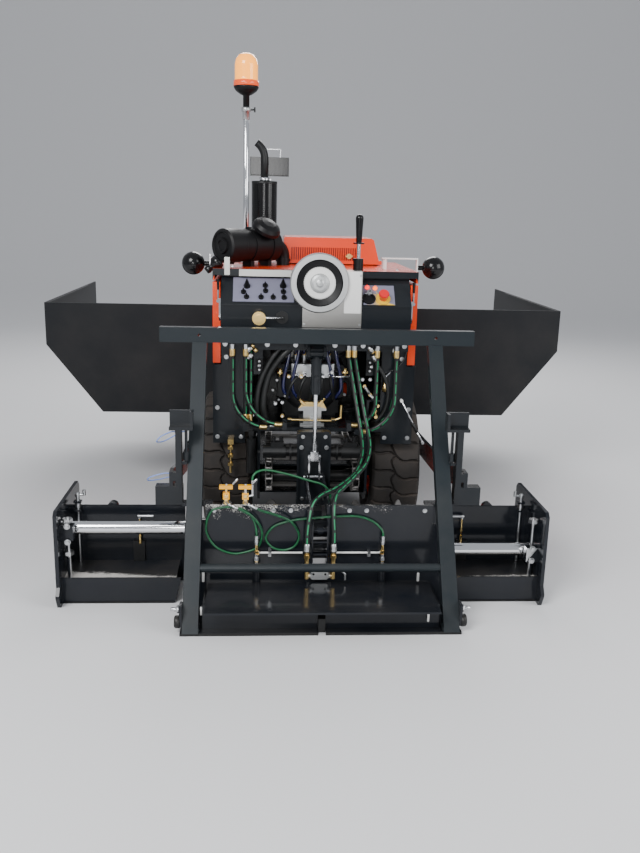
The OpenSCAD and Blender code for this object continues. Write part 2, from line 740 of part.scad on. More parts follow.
module exhaust() color(black) {
    // Silencer in its heat shield
    translate([exhaust_x, exhaust_y, deck_z + 16]) rotate_extrude() polygon([
        [0, 0], [shield_d / 2 - 10, 0], [shield_d / 2, 10], [shield_d / 2, 374],
        [shield_d / 2 - 10, 384], [0, 384]
    ]);
    bar_z(exhaust_x, exhaust_y, [deck_z, deck_z + 24], 60);
    // Tail pipe, bent to the left and cut at a slant
    difference() {
        union() {
            bar_z(exhaust_x, exhaust_y, [deck_z + 390, 1850], 38);
            bend_xz(exhaust_x - 90, exhaust_y, 1850, 90, 0, 62, 38);
        }
        bend_xz(exhaust_x - 90, exhaust_y, 1850, 90, 20, 64, 32);
        translate([exhaust_x - 34, exhaust_y - 40, 1880]) rotate([0, -62, 0]) cube([200, 80, 80]);
    }
    bar_z(exhaust_x, exhaust_y, [deck_z + 400, deck_z + 418], 48);
    // Strap down to the floodlight
    bx([exhaust_x + 6, -160], [exhaust_y - 8, exhaust_y + 8], [1893, 1899]);
    bx([-168, -160], [exhaust_y - 8, -130], [1856, 1899]);
}

module beacon() color(amber) translate([beacon_x, -300, 0]) {
    // Foot and pole
    translate([0, 0, deck_z]) cylinder(d = 74, h = 8);
    bar_z(0, 0, [deck_z, 2060], 28);
    bar_z(0, 0, [2022, 2058], 35);
    // Clamp with its wing screw, rubber stem, bowl and dome
    rotate_extrude() polygon([
        [0, 2057], [23, 2057], [23, 2077], [16, 2079], [16, 2131], [30, 2136], [50, 2150], [59, 2164],
        [59, 2171],
        [beacon_d / 2 + 1, 2172], [beacon_d / 2 + 1, 2197], [beacon_d / 2 - 6, 2198],
        [beacon_d / 2 - 6, beacon_top - 50], [beacon_d / 2 - 11, beacon_top - 26],
        [beacon_d / 2 - 24, beacon_top - 9],
        [beacon_d / 2 - 42, beacon_top], [0, beacon_top]
    ]);
    bar_x([20, 44], 0, 2067, 8);
    bx([36, 46], [-4, 4], [2054, 2080]);
}

module work_lamps() color(chrome) {
    // Stainless plate on the console, with the round lamp's rings
    bx([-64, 202], [slope_low[0] - 8, slope_low[0]], [1092, deck_z + 4]);
    bx([-64, 202], [slope_low[0] - 8, -728], [deck_z, deck_z + 4]);
    translate([10, -837, 1291]) rotate([90, 0, 0]) rotate_extrude() polygon([
        [0, 0], [lamp_d / 2 - 6, 0], [lamp_d / 2, 5], [lamp_d / 2, 14], [lamp_d / 2 - 5, 19], [104, 19],
        [100, 12],
        [73, 10], [70, 22], [66, 25], [42, 26], [39, 34], [30, 37], [0, 38]
    ]);
    // Floodlight with fins and its strap from the tail pipe
    bx([-308, -122], [-166, -112], [1774, 1856]);
    bx([-314, -116], [-114, -104], [1768, 1862]);
    for (i = [0:8]) bx([-302 + i * 21.5, -298 + i * 21.5], [-178, -165], [1778, 1852]);
    // Ball lamps on their brackets
    both() {
        bx([488, 494], [-572, -544], [deck_z - 14, 1394]);
        bar_x([493, 526], -558, 1350, 24);
        translate([570, -558, 1350]) sphere(d = 108);
    }
    bx([322, 494], [-572, -544], [1388, 1394]);
    bar_z(336, -558, [deck_z, 1390], 22);
    bx([-494, -body_half], [-572, -544], [deck_z - 14, deck_z - 8]);
}

module wing() color(paint) {
    section = [
        [hinge_x + 17, hinge_z], [wing_flat, hinge_z], [wing_half, chamfer_z], [wing_half, wing_top],
        [wing_half - wing_t, wing_top], [wing_half - wing_t, chamfer_z + 4], [wing_flat - 5, floor_z],
        [hinge_x + 17, floor_z]
    ];
    difference() {
        union() {
            plate_xz(wing_y, wing_front - wing_y, section);
            plate_xz(wing_y, plate_t, [
                [hinge_x + 8, hinge_z], [wing_flat, hinge_z], [wing_half, chamfer_z],
                [wing_half, wing_top], [hinge_x + 8, wing_top]
            ]);
            plate_xz(wing_front - plate_t, plate_t, [
                [hinge_x + 17, hinge_z], [wing_flat, hinge_z], [wing_half, chamfer_z],
                [wing_half, chamfer_z + 90], [wing_flat - 20, 640], [hinge_x + 17, 570]
            ]);
            for (row = hinge_rows) if (row[2] == 1) {
                bar_y(hinge_x, [row[0], row[1]], hinge_z, hinge_d);
                bx([hinge_x, hinge_x + 20], [row[0], row[1]], [hinge_z, floor_z]);
            }
            // Ribs and the cylinder's lugs under the floor
            for (y = [200, 760, 1180]) plate_xz(y, plate_t, [
                [600, hinge_z + 1], [620, hinge_z - 26], [wing_flat - 40, hinge_z - 26],
                [wing_flat - 8, hinge_z + 1]
            ]);
            for (y = [cyl_y - 28, cyl_y + 18]) plate_xz(y, 10, [
                [eye_pin[0] - 58, hinge_z + 1], [eye_pin[0] - 38, eye_pin[1] - 14],
                [eye_pin[0] - 26, eye_pin[1] - 28],
                [eye_pin[0] + 4, eye_pin[1] - 28], [eye_pin[0] + 22, eye_pin[1] - 12],
                [eye_pin[0] + 40, hinge_z + 1]
            ]);
            // Rim along the side's upper edge
            bx([wing_half - wing_t - 14, wing_half - wing_t + 1], [wing_y, wing_front - 300],
                [wing_top - 10, wing_top]);
        }
        // Slot that the cylinder's pin drifts along while the wing folds
        translate([eye_pin[0], cyl_y - 40, eye_pin[1]])
            rotate([0, -atan2(eye_drift[1], eye_drift[0]), 0]) {
            for (x = [0, norm(eye_drift)]) bar_y(x, [0, 80], 0, cyl_pin_d + 3);
            bx([0, norm(eye_drift)], [0, 80], [-cyl_pin_d / 2 - 1.5, cyl_pin_d / 2 + 1.5]);
        }
        bar_y(hinge_x, [60, 1390], hinge_z, wing_pin_d + 2 * slip);
    }
}

// Length and slope of the wing cylinder with the wing down
cyl_len = norm(eye_pin - cyl_pin);
cyl_tilt = atan2(eye_pin[1] - cyl_pin[1], eye_pin[0] - cyl_pin[0]);

module along_cylinder() {
    translate([cyl_pin[0], cyl_y, cyl_pin[1]]) rotate([0, -cyl_tilt, 0]) children();
}

module wing_barrel() color(paint) along_cylinder() {
    difference() {
        union() {
            bar_x([30, 410], 0, 0, 50);
            bar_x([388, 410], 0, 0, 56);
            bar_x([12, 31], 0, 0, 34);
            bar_y(0, [-16, 16], 0, 38);
            for (x = [60, 370]) bar_z(x, 0, [-40, -20], 18);
        }
        bar_y(0, [-20, 20], 0, cyl_pin_d + 2 * slip);
        bar_x([60, 412], 0, 0, 26);
    }
}

module wing_rod() color(chrome) along_cylinder() {
    bar_x([80, cyl_len], 0, 0, 25);
    bar_y(cyl_len, [-16, 16], 0, 36);
    bar_y(cyl_len, [-28, 28], 0, cyl_pin_d - 1);
}

module push_roller() color(zinc) difference() {
    bar_x([80, 412], beam_y + 115, 450, roller_d);
    bar_x([70, 420], beam_y + 115, 450, 24 + 2 * slip);
}

module lift_barrel() color(paint) {
    difference() {
        union() {
            bar_z(0, lift_y, [812, lift_top - 20], 48);
            bar_z(0, lift_y, [800, 824], 42);
            bar_z(0, lift_y, [lift_top - 24, lift_top], 36);
            bar_x([-28, 28], lift_y, lift_top, 44);
            bar_y(0, [lift_y - 40, lift_y - 20], 878, 20);
        }
        bar_z(0, lift_y, [790, lift_top - 30], 19);
    }
    bar_x([-46, 46], lift_y, lift_top, 24);
}

module lift_rod() color(chrome) {
    bar_z(0, lift_y, [500, 820], 18);
    bx([-18, 18], [lift_y - 15, lift_y + 15], [488, 532]);
    for (x = [-28, 20]) plate_yz(x, 8, [
        [lift_y - 12, lift_low - 4], [lift_y - 7, lift_low - 13], [lift_y + 7, lift_low - 13],
        [lift_y + 12, lift_low - 4],
        [lift_y + 12, 510], [lift_y + 7, 516], [lift_y - 7, 516], [lift_y - 12, 510]
    ]);
    bar_x([-30, 30], lift_y, 504, lift_pin_d);
    bar_x([-48, 48], lift_y, lift_low, lift_pin_d);
}

module tow_arms() color(paint) both() {
    difference() {
        union() {
            plate_yz(arm_in, arm_t, [
                [tow_y, tow_z + 46], [tow_y, tow_z - 46], [-700, 372], [-1060, 442], [-1330, 442],
                [-1330, 560],
                [-1270, 560], [-900, 486]
            ]);
            bar_x([arm_in, arm_in + arm_t], tow_y, tow_z, 92);
        }
        bar_x([arm_in - 1, arm_in + arm_t + 1], tow_y, tow_z, tow_pin_d + 2 * slip);
    }
    // Upright at the arm's rear end, with its upper and lower plates
    bx([564, 588], [-1330, -1280], [442, 735]);
    bx([517, 613], [-1330, -1280], [734, 746]);
    bx([517, 529], [-1330, -1280], [745, 809]);
    bx([517, 613], [-1292, -1280], [745, 809]);
    bx([562, 672], [-1330, -1280], [420, 497]);
    bx([587, 601], [-1330, -1300], [520, 556]);
    // Levelling screw behind the upright
    bar_z(546, -1308, [590, 734], 12);
    bar_z(546, -1310, [606, 640], 24);
    bx([542, 565], [-1318, -1299], [588, 600]);
}

module main_screed() color(paint) {
    both() {
        bx([15, screed_half], [-1660, main_front + 1], [0, plate_t]);
        bx([15, post_x - post_w / 2 - 14], [main_back, main_front + 1], [plate_t - 1, box_h]);
        // Shelf between the wall and the tow arm's upright
        bx([440, 465], [-1381, -1300], [420, 432]);
        bx([440, 562], [-1350, -1300], [420, 432]);
        // Burner tubes behind the wall, and the lugs of the crown screw
        bar_z(burner_x, burner_y, [box_h - 1, 200], 32);
        bx([wall_gap, wall_gap + 6], [-1430, main_front + 1], [205, 368]);
    }
    difference() {
        union() {
            plate_xz(main_front, plate_t, [
                [-screed_half, 0], [-screed_half, 360], [-465, 360], [-465, wall_top], [-wall_gap, wall_top],
                [-wall_gap, 130], [wall_gap, 130], [wall_gap, wall_top],
                [465, wall_top], [465, 360], [screed_half, 360], [screed_half, 0]
            ]);
            // Housings of the two guide tubes, each on three webs
            bar_x([-500, 450], guide_y, guide_left_z, guide_d + 2 * guide_wall);
            bar_x([-450, 500], guide_y, guide_right_z, guide_d + 2 * guide_wall);
            for (x = [-440, -46, 34, 428])
                bx([x, x + plate_t], [main_front, guide_y], [120, 325]);
        }
        bar_x([-510, 510], guide_y, guide_left_z, guide_d + 2 * slip);
        bar_x([-510, 510], guide_y, guide_right_z, guide_d + 2 * slip);
    }
    // Crown screw across the gap, and the two cross pins below it
    bar_x([-wall_gap - 1, wall_gap + 1], -1412, 340, 14);
    bar_x([-12, 12], -1412, 340, 30);
    for (z = [232, 286]) bar_x([-wall_gap - 1, wall_gap + 1], -1408, z, 12);
    // Lift bracket over the extensions
    difference() {
        both() plate_yz(34, 10, [
            [main_front + 1, 320], [main_front + 1, wall_top], [-1200, 432], [lift_y + 17, 430],
            [lift_y + 17, 385], [lift_y - 20, 372], [-1200, 362], [-1320, 320]
        ]);
        bar_x([-50, 50], lift_y, lift_low, lift_pin_d + 8);
    }
}

module operator_frame() color(paint) {
    lean = atan2(post_head[0] - post_foot[0], post_head[1]);
    difference() {
        union() {
            both() intersection() {
                translate([post_x - post_w / 2, post_foot[0], 0]) rotate([-lean, 0, 0])
                    translate([0, -20, -60]) cube([post_w, 40, 1400]);
                bx([400, 600], [-1800, -900], [plate_t, cross_z - cross_h / 2 + 1]);
            }
            bx([-cross_half, cross_half], [-1020, -980], [cross_z - cross_h / 2, cross_z + cross_h / 2]);
            bar_x([-post_x, post_x], -1514, 220, 34);
            // Feet of the posts
            both() bx([post_x - post_w / 2 - 4, post_x + post_w / 2 - 2], [-1655, -1600],
                [plate_t, plate_t + 14]);
        }
        both() bar_y(post_x, [-1050, -950], cross_z, 14);
    }
}

module step_plate() color(paint) {
    plate_yz(-post_x + post_w / 2 + 27, 2 * (post_x - post_w / 2 - 27), [
        [-1720, box_h + 7], [-1720, box_h + 15], [step_front, box_h + 15], [step_front, box_h],
        [step_front - 8, box_h], [step_front - 8, box_h + 7], [-1600, box_h + 7], [-1600, box_h],
        [-1608, box_h], [-1608, box_h + 7]
    ]);
}

module screed_fittings() color(yellow) {
    // Gas valves on the wall's upper edge: bracket, body, nut and handle
    for (x = [-381, -304]) {
        bx([x - 16, x + 16], [-1395, -1378], [wall_top, wall_top + 5]);
        bar_z(x, -1388, [wall_top + 4, wall_top + 28], 22);
        bx([x - 13, x + 13], [-1401, -1375], [wall_top + 27, wall_top + 54]);
        bar_z(x, -1388, [wall_top + 53, wall_top + 70], 12);
        bx([x - 28, x + 26], [-1397, -1379], [wall_top + 69, wall_top + 84]);
        pipe([[x, -1396, wall_top + 16], [x + 14, -1416, wall_top + 10], [x + 48, -1424, wall_top - 4]], 11);
    }
    // Elbow and pipe of the gas feed above the right valve
    pipe([[-304, -1386, wall_top + 34], [-276, -1386, wall_top + 40], [-276, -1386, wall_top + 104]], 10);
    // Burner couplings on their tubes
    for (x = [-burner_x, burner_x]) {
        bar_z(x, burner_y, [200, 240], 14);
        bar_z(x, burner_y, [212, 226], 20);
        bar_z(x, burner_y, [239, 282], 11);
        bar_z(x, burner_y, [281, 318], 14);
    }
    // Thin pipes along the wall's foot, with their clamps
    both() {
        bar_x([70, burner_x - 6], -1405, 240, 8);
        bar_y(burner_x - 6, [burner_y, -1400], 240, 11);
        bx([burner_x - 60, burner_x - 48], [-1412, main_front], [225, 250]);
    }
    // Fitting on the lift bracket
    bx([44, 57], [-1258, -1242], [398, 424]);
    // Vibration motor in the gap, with its two hose tails
    bx([-50, 50], [-1406, main_front], [136, 176]);
    plate_xz(-1436, 31, [[-46, 150], [-34, 166], [-20, 178], [20, 178], [34, 166], [46, 150], [30, 134],
        [-30, 134]]);
    for (x = [-54, 54]) {
        bar_z(x, -1450, [146, 262], 18);
        bar_z(x, -1450, [236, 250], 25);
        bar_x([min(x, x * 0.7), max(x, x * 0.7)], -1450, 158, 16);
        bar_y(x * 0.74, [-1453, -1430], 158, 19);
    }
    pipe([[58, -1450, 178], [90, -1450, 178], [104, -1450, 164], [104, -1450, 140]], 8);
}

// One screed extension on the right: its outer face at reach, its guide tube at height tube
module extension(reach, tube) color(paint) {
    inner = reach - 15 - ext_len;
    // Box with a raised rear plate, front wall, and burner pocket
    plate_xz(ext_back, 8, [[inner + 26, 0], [inner, ext_h], [reach - 14, ext_h], [reach - 14, 0]]);
    bx([inner + 24, reach - 14], [ext_back, ext_front], [0, plate_t]);
    bx([inner + 24, reach - 14], [ext_back + 7, ext_front], [ext_h - 26, ext_h - 14]);
    bx([inner + 24, reach - 14], [ext_front - 8, ext_front], [plate_t - 1, ext_h - 14]);
    bx([inner, reach - 14], [ext_front, ext_front + plate_t], [0, 350]);
    bx([reach - 325, reach - 276], [ext_front - 16, ext_front + 1], [ext_h - 15, 193]);
    // Gas nozzle with its elbow
    bar_z(reach - 307, ext_front - 22, [186, 222], 14);
    bar_z(reach - 307, ext_front - 22, [221, 300], 7);
    bx([reach - 311, reach - 303], [ext_front - 24, ext_front + 1], [240, 252]);
    pipe([[reach - 307, ext_front - 22, 299], [reach - 302, ext_front - 22, 310],
        [reach - 366, ext_front - 22, 310]], 11);
    // End plate with its shoe
    plate_yz(reach - 15, 15, [
        [-1410, 90], [-1410, 394], [-1392, 412], [-990, 412], [-970, 392], [-970, 90], [-950, 60], [-950, 50],
        [-975, 0], [-1405, 0], [-1430, 50], [-1430, 60]
    ]);
    bx([reach - 16, reach], [-1405, -975], [0, 8]);
    // Clamp block of the guide tube, with two adjusting screws and their cranks
    bx([reach - 62, reach - 14], [-1340, -1298], [tube - 30, tube + 34]);
    bx([reach - 46, reach - 14], [-1299, guide_y - guide_d / 2 - 0.3], [tube - 24, tube + 24]);
    bar_z(reach - 38, -1320, [ext_h - 15, 362], 13);
    for (z = [198, 340]) translate([reach - 38, -1320, z]) cylinder(d = 42, h = 16, $fn = 6);
    bar_z(reach - 38, -1320, [ext_h - 13, 190], 18);
    bar_z(reach - 46, ext_front - 12, [ext_h - 15, 412], 12);
    for (z = [330, 368]) bx([reach - 62, reach - 30], [ext_front - 24, ext_front + 1], [z, z + 8]);
    bar_z(reach - 46, ext_front - 12, [346, 366], 26);
    bar_z(reach - 46, ext_front - 12, [396, 408], 22);
    bar_x([reach - 78, reach - 40], ext_front - 12, 402, 9);
    bar_z(reach - 74, ext_front - 12, [400, 424], 14);
    // Knob on the front wall
    bar_y(reach - 190, [ext_front + 6, ext_front + 30], 342, 46);
}

module guide_tube(reach, z, len) color(chrome) difference() {
    bar_x([reach - 15 - len, reach - 15], guide_y, z, guide_d);
    bar_x([reach - 16 - len, reach - 30], guide_y, z, guide_d - 12);
}

// Hoses of the hydraulics bay, each held by a fitting at both ends
module bay_hoses() color(rubber) {
    y = -802;
    // Height of each upright length's lower end, its place along X, and the bend's radius and side
    for (h = [[778, -378, 160, -1], [800, -318, 170, -1], [760, 374, 160, 1], [740, 286, 110, 1]]) {
        bar_z(h[1], y, [h[0], 986], 21);
        bend_xz(h[1] - h[3] * h[2], y, h[0], h[2], h[3] < 0 ? 180 : -90, h[3] < 0 ? 270 : 0, 21);
    }
    for (x = [-296, -318]) bar_z(x, -775, [640, 980], 21);
}

// Routes of the free hoses and wires
route_screed_right = [
    [180, -802, 986], [180, -802, 976], [190, -806, 910], [208, -822, 815], [228, -862, 705],
    [243, -915, 625], [244, -985, 566],
    [215, -1085, 524], [155, -1190, 496], [98, -1295, 480], [68, -1365, 478], [54, -1415, 455],
    [51, -1442, 405],
    [54, -1450, 340], [54, -1450, 262]
];
route_screed_left = [
    [152, -802, 986], [152, -802, 976], [162, -806, 910], [180, -822, 810], [198, -862, 704],
    [212, -915, 614], [209, -1000, 544],
    [175, -1100, 499], [125, -1185, 480], [60, -1280, 470], [0, -1365, 470], [-34, -1415, 450],
    [-47, -1442, 402],
    [-54, -1450, 340], [-54, -1450, 262]
];
route_gas_left = [
    [-333, -1424, 436], [-316, -1428, 429], [-278, -1425, 406], [-243, -1419, 358], [-236, -1412, 310],
    [-256, -1405, 262], [-307, -1402, 240], [-362, -1401, 236], [-424, -1401, 264], [-460, -1401, 322],
    [-460, -1401, 374], [-438, -1401, 420], [-396, -1401, 434], [-346, -1401, 434], [-300, -1403, 418],
    [-268, -1410, 380], [-258, -1418, 336], [-258, -1418, 318]
];
route_gas_right = [
    [-256, -1424, 436], [-239, -1428, 429], [-180, -1425, 410], [-118, -1419, 378], [-85, -1408, 318],
    [-102, -1402, 268], [-146, -1401, 250], [-194, -1401, 262], [-221, -1401, 304], [-186, -1401, 354],
    [-110, -1401, 379], [-32, -1402, 389], [60, -1402, 396], [150, -1402, 397], [212, -1403, 378],
    [248, -1411, 350], [258, -1418, 332], [258, -1418, 318]
];
route_gas_feed = [
    [-276, -1386, wall_top + 104], [-276, -1386, 552], [-272, -1384, 564], [-254, -1376, 578],
    [-215, -1357, 578], [-125, -1312, 545],
    [-45, -1284, 512], [12, -1262, 488], [42, -1252, 460], [50.5, -1250, 440], [50.5, -1250, 424]
];
route_wire_upper = [
    [-588, -1305, 722], [-606, -1305, 722], [-650, -1292, 698], [-668, -1276, 672], [-640, -1245, 668],
    [-580, -1210, 694], [-562, -1205, 698], [-550, -1205, 698]
];
route_wire_lower = [
    [-615, -1300, 545], [-640, -1300, 545], [-696, -1292, 526], [-708, -1272, 506], [-668, -1254, 504],
    [-632, -1250, 512], [-615, -1250, 512]
];

module hose_screed_left() color(rubber) hose(route_screed_left, 20, [1, 0, 0]);
module hose_screed_right() color(rubber) hose(route_screed_right, 20, [1, 0, 0]);
module gas_hose_left() color(green) hose(route_gas_left, 9, [0, 1, 0]);
module gas_hose_right() color(green) hose(route_gas_right, 9, [0, 1, 0]);
module gas_feed_hose() color(green) hose(route_gas_feed, 9, [0, 1, 0]);
module wire_upper() color(blue) hose(route_wire_upper, 5, [0, 0, 1]);
module wire_lower() color(blue) hose(route_wire_lower, 5, [0, 0, 1]);

chassis_frame();
body_panels();
hopper_trough();
conveyor();
front_beam();
engine();
hydraulics();
auger_case();
drive_motors();
front_axle();
console();
controls();
deck();
air_cleaner();
exhaust();
beacon();
work_lamps();
hood();
left() door();  // door_left
door();  // door_right
left() wing();  // wing_left
wing();  // wing_right
left() wing_barrel();  // wing_barrel_left
wing_barrel();  // wing_barrel_right
left() wing_rod();  // wing_rod_left
wing_rod();  // wing_rod_right
left() push_roller();  // push_roller_left
push_roller();  // push_roller_right
left() knuckle();  // knuckle_left
knuckle();  // knuckle_right
left() front_wheel();  // front_wheel_left
front_wheel();  // front_wheel_right
left() rear_tyre();  // rear_tyre_left
rear_tyre();  // rear_tyre_right
left() rear_rim();  // rear_rim_left
rear_rim();  // rear_rim_right
left() auger();  // auger_left
auger();  // auger_right
lift_barrel();
lift_rod();
tow_arms();
main_screed();
operator_frame();
step_plate();
screed_fittings();
left() extension(left_reach, guide_left_z);  // extension_left
extension(right_reach, guide_right_z);  // extension_right
left() guide_tube(left_reach, guide_left_z, 930);  // guide_tube_left
guide_tube(right_reach, guide_right_z, 930);  // guide_tube_right
bay_hoses();
hose_screed_left();
hose_screed_right();
gas_hose_left();
gas_hose_right();
gas_feed_hose();
wire_upper();
wire_lower();
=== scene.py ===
"""Compact wheeled asphalt paver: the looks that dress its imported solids.

Metres in the part's own frame: X points right, Y forward towards the hopper, Z up, and the origin is on
the ground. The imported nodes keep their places; this file paints them, swaps a few for finer pieces, and
adds hoses, pipes, fasteners and lamps.
"""

from __future__ import annotations

import logging
import math
from collections.abc import Callable, Iterable, Sequence
from dataclasses import dataclass, field, replace
from enum import Enum
from functools import cache
from typing import Any

import bmesh
import bpy
from mathutils import Matrix, Vector


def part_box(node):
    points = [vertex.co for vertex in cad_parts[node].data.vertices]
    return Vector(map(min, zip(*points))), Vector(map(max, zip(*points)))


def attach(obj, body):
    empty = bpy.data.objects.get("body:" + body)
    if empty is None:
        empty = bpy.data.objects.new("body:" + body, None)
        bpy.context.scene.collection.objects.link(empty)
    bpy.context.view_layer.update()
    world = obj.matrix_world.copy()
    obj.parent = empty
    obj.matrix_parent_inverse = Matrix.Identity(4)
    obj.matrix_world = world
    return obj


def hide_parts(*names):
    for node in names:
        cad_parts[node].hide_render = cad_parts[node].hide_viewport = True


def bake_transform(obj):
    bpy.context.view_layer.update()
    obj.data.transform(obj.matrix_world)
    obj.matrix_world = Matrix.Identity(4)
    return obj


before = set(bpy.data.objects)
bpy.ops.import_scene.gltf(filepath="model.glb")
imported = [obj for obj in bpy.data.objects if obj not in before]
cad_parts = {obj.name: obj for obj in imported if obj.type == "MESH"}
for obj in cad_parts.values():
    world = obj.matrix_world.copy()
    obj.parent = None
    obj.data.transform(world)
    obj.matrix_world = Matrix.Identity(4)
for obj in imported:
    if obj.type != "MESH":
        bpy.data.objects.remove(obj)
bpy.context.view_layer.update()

log = logging.getLogger("paver")

Point = tuple[float, float, float]
Colour = tuple[float, float, float]
Socket = bpy.types.NodeSocket


class Body(Enum):
    """The moving bodies that new pieces ride on."""

    CHASSIS = "chassis"
    HOOD = "hood"
    SCREED = "screed"
    EXTENSION_LEFT = "extension_left"
    EXTENSION_RIGHT = "extension_right"
    WHEEL_LEFT = "rear_wheel_left"
    WHEEL_RIGHT = "rear_wheel_right"


class Surface(Enum):
    """How a finish varies over its surface."""

    SMOOTH = "smooth"
    SPRAYED = "sprayed"
    GRAINED = "grained"
    BRUSHED = "brushed"
    CAST = "cast"


def mm(x: float, y: float, z: float) -> Point:
    """Returns a point given in millimetres in metres."""
    return (x / 1000, y / 1000, z / 1000)


def circle(sides: int) -> list[tuple[float, float]]:
    """Returns the cosine and the sine of even steps round a circle."""
    return [(math.cos(2 * math.pi * k / sides), math.sin(2 * math.pi * k / sides)) for k in range(sides)]


# ---- Trees of nodes ----


class TreeWriter:
    """Writes the nodes and links of one shader or geometry tree."""

    def __init__(self, tree: bpy.types.NodeTree) -> None:
        """Keeps the tree that the nodes go into."""
        self.tree = tree

    def feed(self, node: bpy.types.Node, wires: dict[str | int, Any]) -> None:
        """Feeds a node's inputs.

        Args:
            node: The node.
            wires: Input name or index, and the socket or plain value that goes in.
        """
        for name, value in wires.items():
            if isinstance(value, Socket):
                self.tree.links.new(value, node.inputs[name])
            else:
                node.inputs[name].default_value = value

    def node(self, kind: str, wires: dict[str | int, Any] | None = None, **settings: Any) -> bpy.types.Node:
        """Adds a node, sets its properties, and feeds its inputs.

        Args:
            kind: Blender's type name of the node.
            wires: Input name or index, and the socket or plain value that goes in.
            **settings: Properties of the node.

        Returns:
            The new node.
        """
        made = self.tree.nodes.new(kind)
        for name, value in settings.items():
            setattr(made, name, value)
        self.feed(made, wires or {})
        return made

    def maths(self, operation: str, *values: Any) -> Socket:
        """Returns the result of a Math node, of the shader or the geometry kind alike."""
        return self.node("ShaderNodeMath", dict(enumerate(values)), operation=operation).outputs[0]

    def product(self, first: Any, *others: Any) -> Socket:
        """Multiplies sockets and numbers, one after the other.

        Args:
            first: The first of them.
            others: The rest.

        Returns:
            The product.
        """
        for other in others:
            first = self.maths("MULTIPLY", first, other)
        return first

    def vector_maths(self, operation: str, first: Any, second: Any) -> Socket:
        """Returns the result of a Vector Math node, which is a number for a dot product."""
        made = self.node("ShaderNodeVectorMath", {0: first, 1: second}, operation=operation)
        return made.outputs["Value" if operation == "DOT_PRODUCT" else "Vector"]

    def vector(self, x: Any = 0.0, y: Any = 0.0, z: Any = 0.0) -> Socket:
        """Returns a vector made of three sockets or numbers."""
        return self.node("ShaderNodeCombineXYZ", {"X": x, "Y": y, "Z": z}).outputs[0]

    def split(self, vector: Socket) -> Any:
        """Returns the outputs X, Y and Z of a vector."""
        return self.node("ShaderNodeSeparateXYZ", {0: vector}).outputs

    def noise(self, place: Socket, scale: Any, detail: float, roughness: float = 0.5) -> Socket:
        """Returns the value of a noise texture."""
        return self.node("ShaderNodeTexNoise", {"Vector": place, "Scale": scale, "Detail": detail,
                                                "Roughness": roughness}).outputs["Fac"]

    def ranged(self, value: Socket, low: float, high: float, first: float = 0.0, last: float = 1.0) -> Socket:
        """Turns a range of a value into another range, and clamps it there.

        Args:
            value: The value.
            low: Where its range begins.
            high: Where its range ends.
            first: What it is at the low end.
            last: What it is at the high end.

        Returns:
            The result's socket.
        """
        return self.node("ShaderNodeMapRange", {"Value": value, "From Min": low, "From Max": high,
                                                "To Min": first, "To Max": last}).outputs[0]

    def mixed(self, factor: Socket, below: Any, above: Any, kind: str = "RGBA") -> Socket:
        """Lays one colour or number over another.

        Args:
            factor: How much of the upper one shows.
            below: The lower one.
            above: The upper one.
            kind: "RGBA" for colours, "FLOAT" for numbers.

        Returns:
            The result's socket.
        """
        first, result = {"FLOAT": (2, 0), "RGBA": (6, 2)}[kind]
        made = self.node("ShaderNodeMix", {"Factor": factor, first: below, first + 1: above}, data_type=kind)
        return made.outputs[result]


def new_group(name: str, inputs: Sequence[tuple[str, str, Any]], outputs: Sequence[tuple[str, str]],
              kind: str = "ShaderNodeTree") -> tuple[TreeWriter, Any, bpy.types.Node]:
    """Starts a node group with named sockets.

    Args:
        name: The group's name.
        inputs: Name, kind of socket and default of each input.
        outputs: Name and kind of socket of each output.
        kind: The kind of tree.

    Returns:
        The writer of the tree, the sockets of its inputs, and its output node.
    """
    tree = bpy.data.node_groups.new(name, kind)
    for label, socket_kind, default in inputs:
        socket = tree.interface.new_socket(label, in_out="INPUT", socket_type="NodeSocket" + socket_kind)
        if default is not None:
            socket.default_value = default
    for label, socket_kind in outputs:
        tree.interface.new_socket(label, in_out="OUTPUT", socket_type="NodeSocket" + socket_kind)
    writer = TreeWriter(tree)
    return writer, writer.node("NodeGroupInput").outputs, writer.node("NodeGroupOutput")


DUSTY_ROUGHNESS = 0.9
COAT_ROUGHNESS = 0.08
CHALK_COLOUR = (0.56, 0.54, 0.51, 1)


@cache
def road_dust_group() -> bpy.types.NodeTree:
    """Builds the shared effect of road dust that lies on top faces and low down.

    Returns:
        A group that puts out a colour and a roughness.
    """
    tree, given, result = new_group(
        "Road dust",
        [("Vector", "Vector", None), ("Paint", "Color", (0.1, 0.1, 0.1, 1)),
         ("Dust", "Color", (0.2, 0.18, 0.16, 1)), ("Amount", "Float", 0.3),
         ("Clean roughness", "Float", 0.3)],
        [("Color", "Color"), ("Roughness", "Float")])
    blotches = tree.ranged(tree.noise(given["Vector"], 4.0, 5.0, 0.62), 0.36, 0.68)
    specks = tree.maths("MULTIPLY_ADD", tree.noise(given["Vector"], 190.0, 2.0), 0.8, 0.6)
    normal = tree.node("ShaderNodeNewGeometry").outputs["Normal"]
    upward = tree.ranged(tree.split(normal)["Z"], 0.1, 0.95, 0.35, 1.0)
    low = tree.ranged(tree.split(given["Vector"])["Z"], 0.1, 1.1, 1.25, 0.55)
    amount = tree.product(upward, low, blotches, specks, given["Amount"])
    mask = tree.node("ShaderNodeClamp", {0: amount}).outputs[0]
    tree.feed(result, {
        "Color": tree.mixed(mask, given["Paint"], given["Dust"]),
        "Roughness": tree.mixed(mask, given["Clean roughness"], DUSTY_ROUGHNESS, "FLOAT")})
    return tree.tree


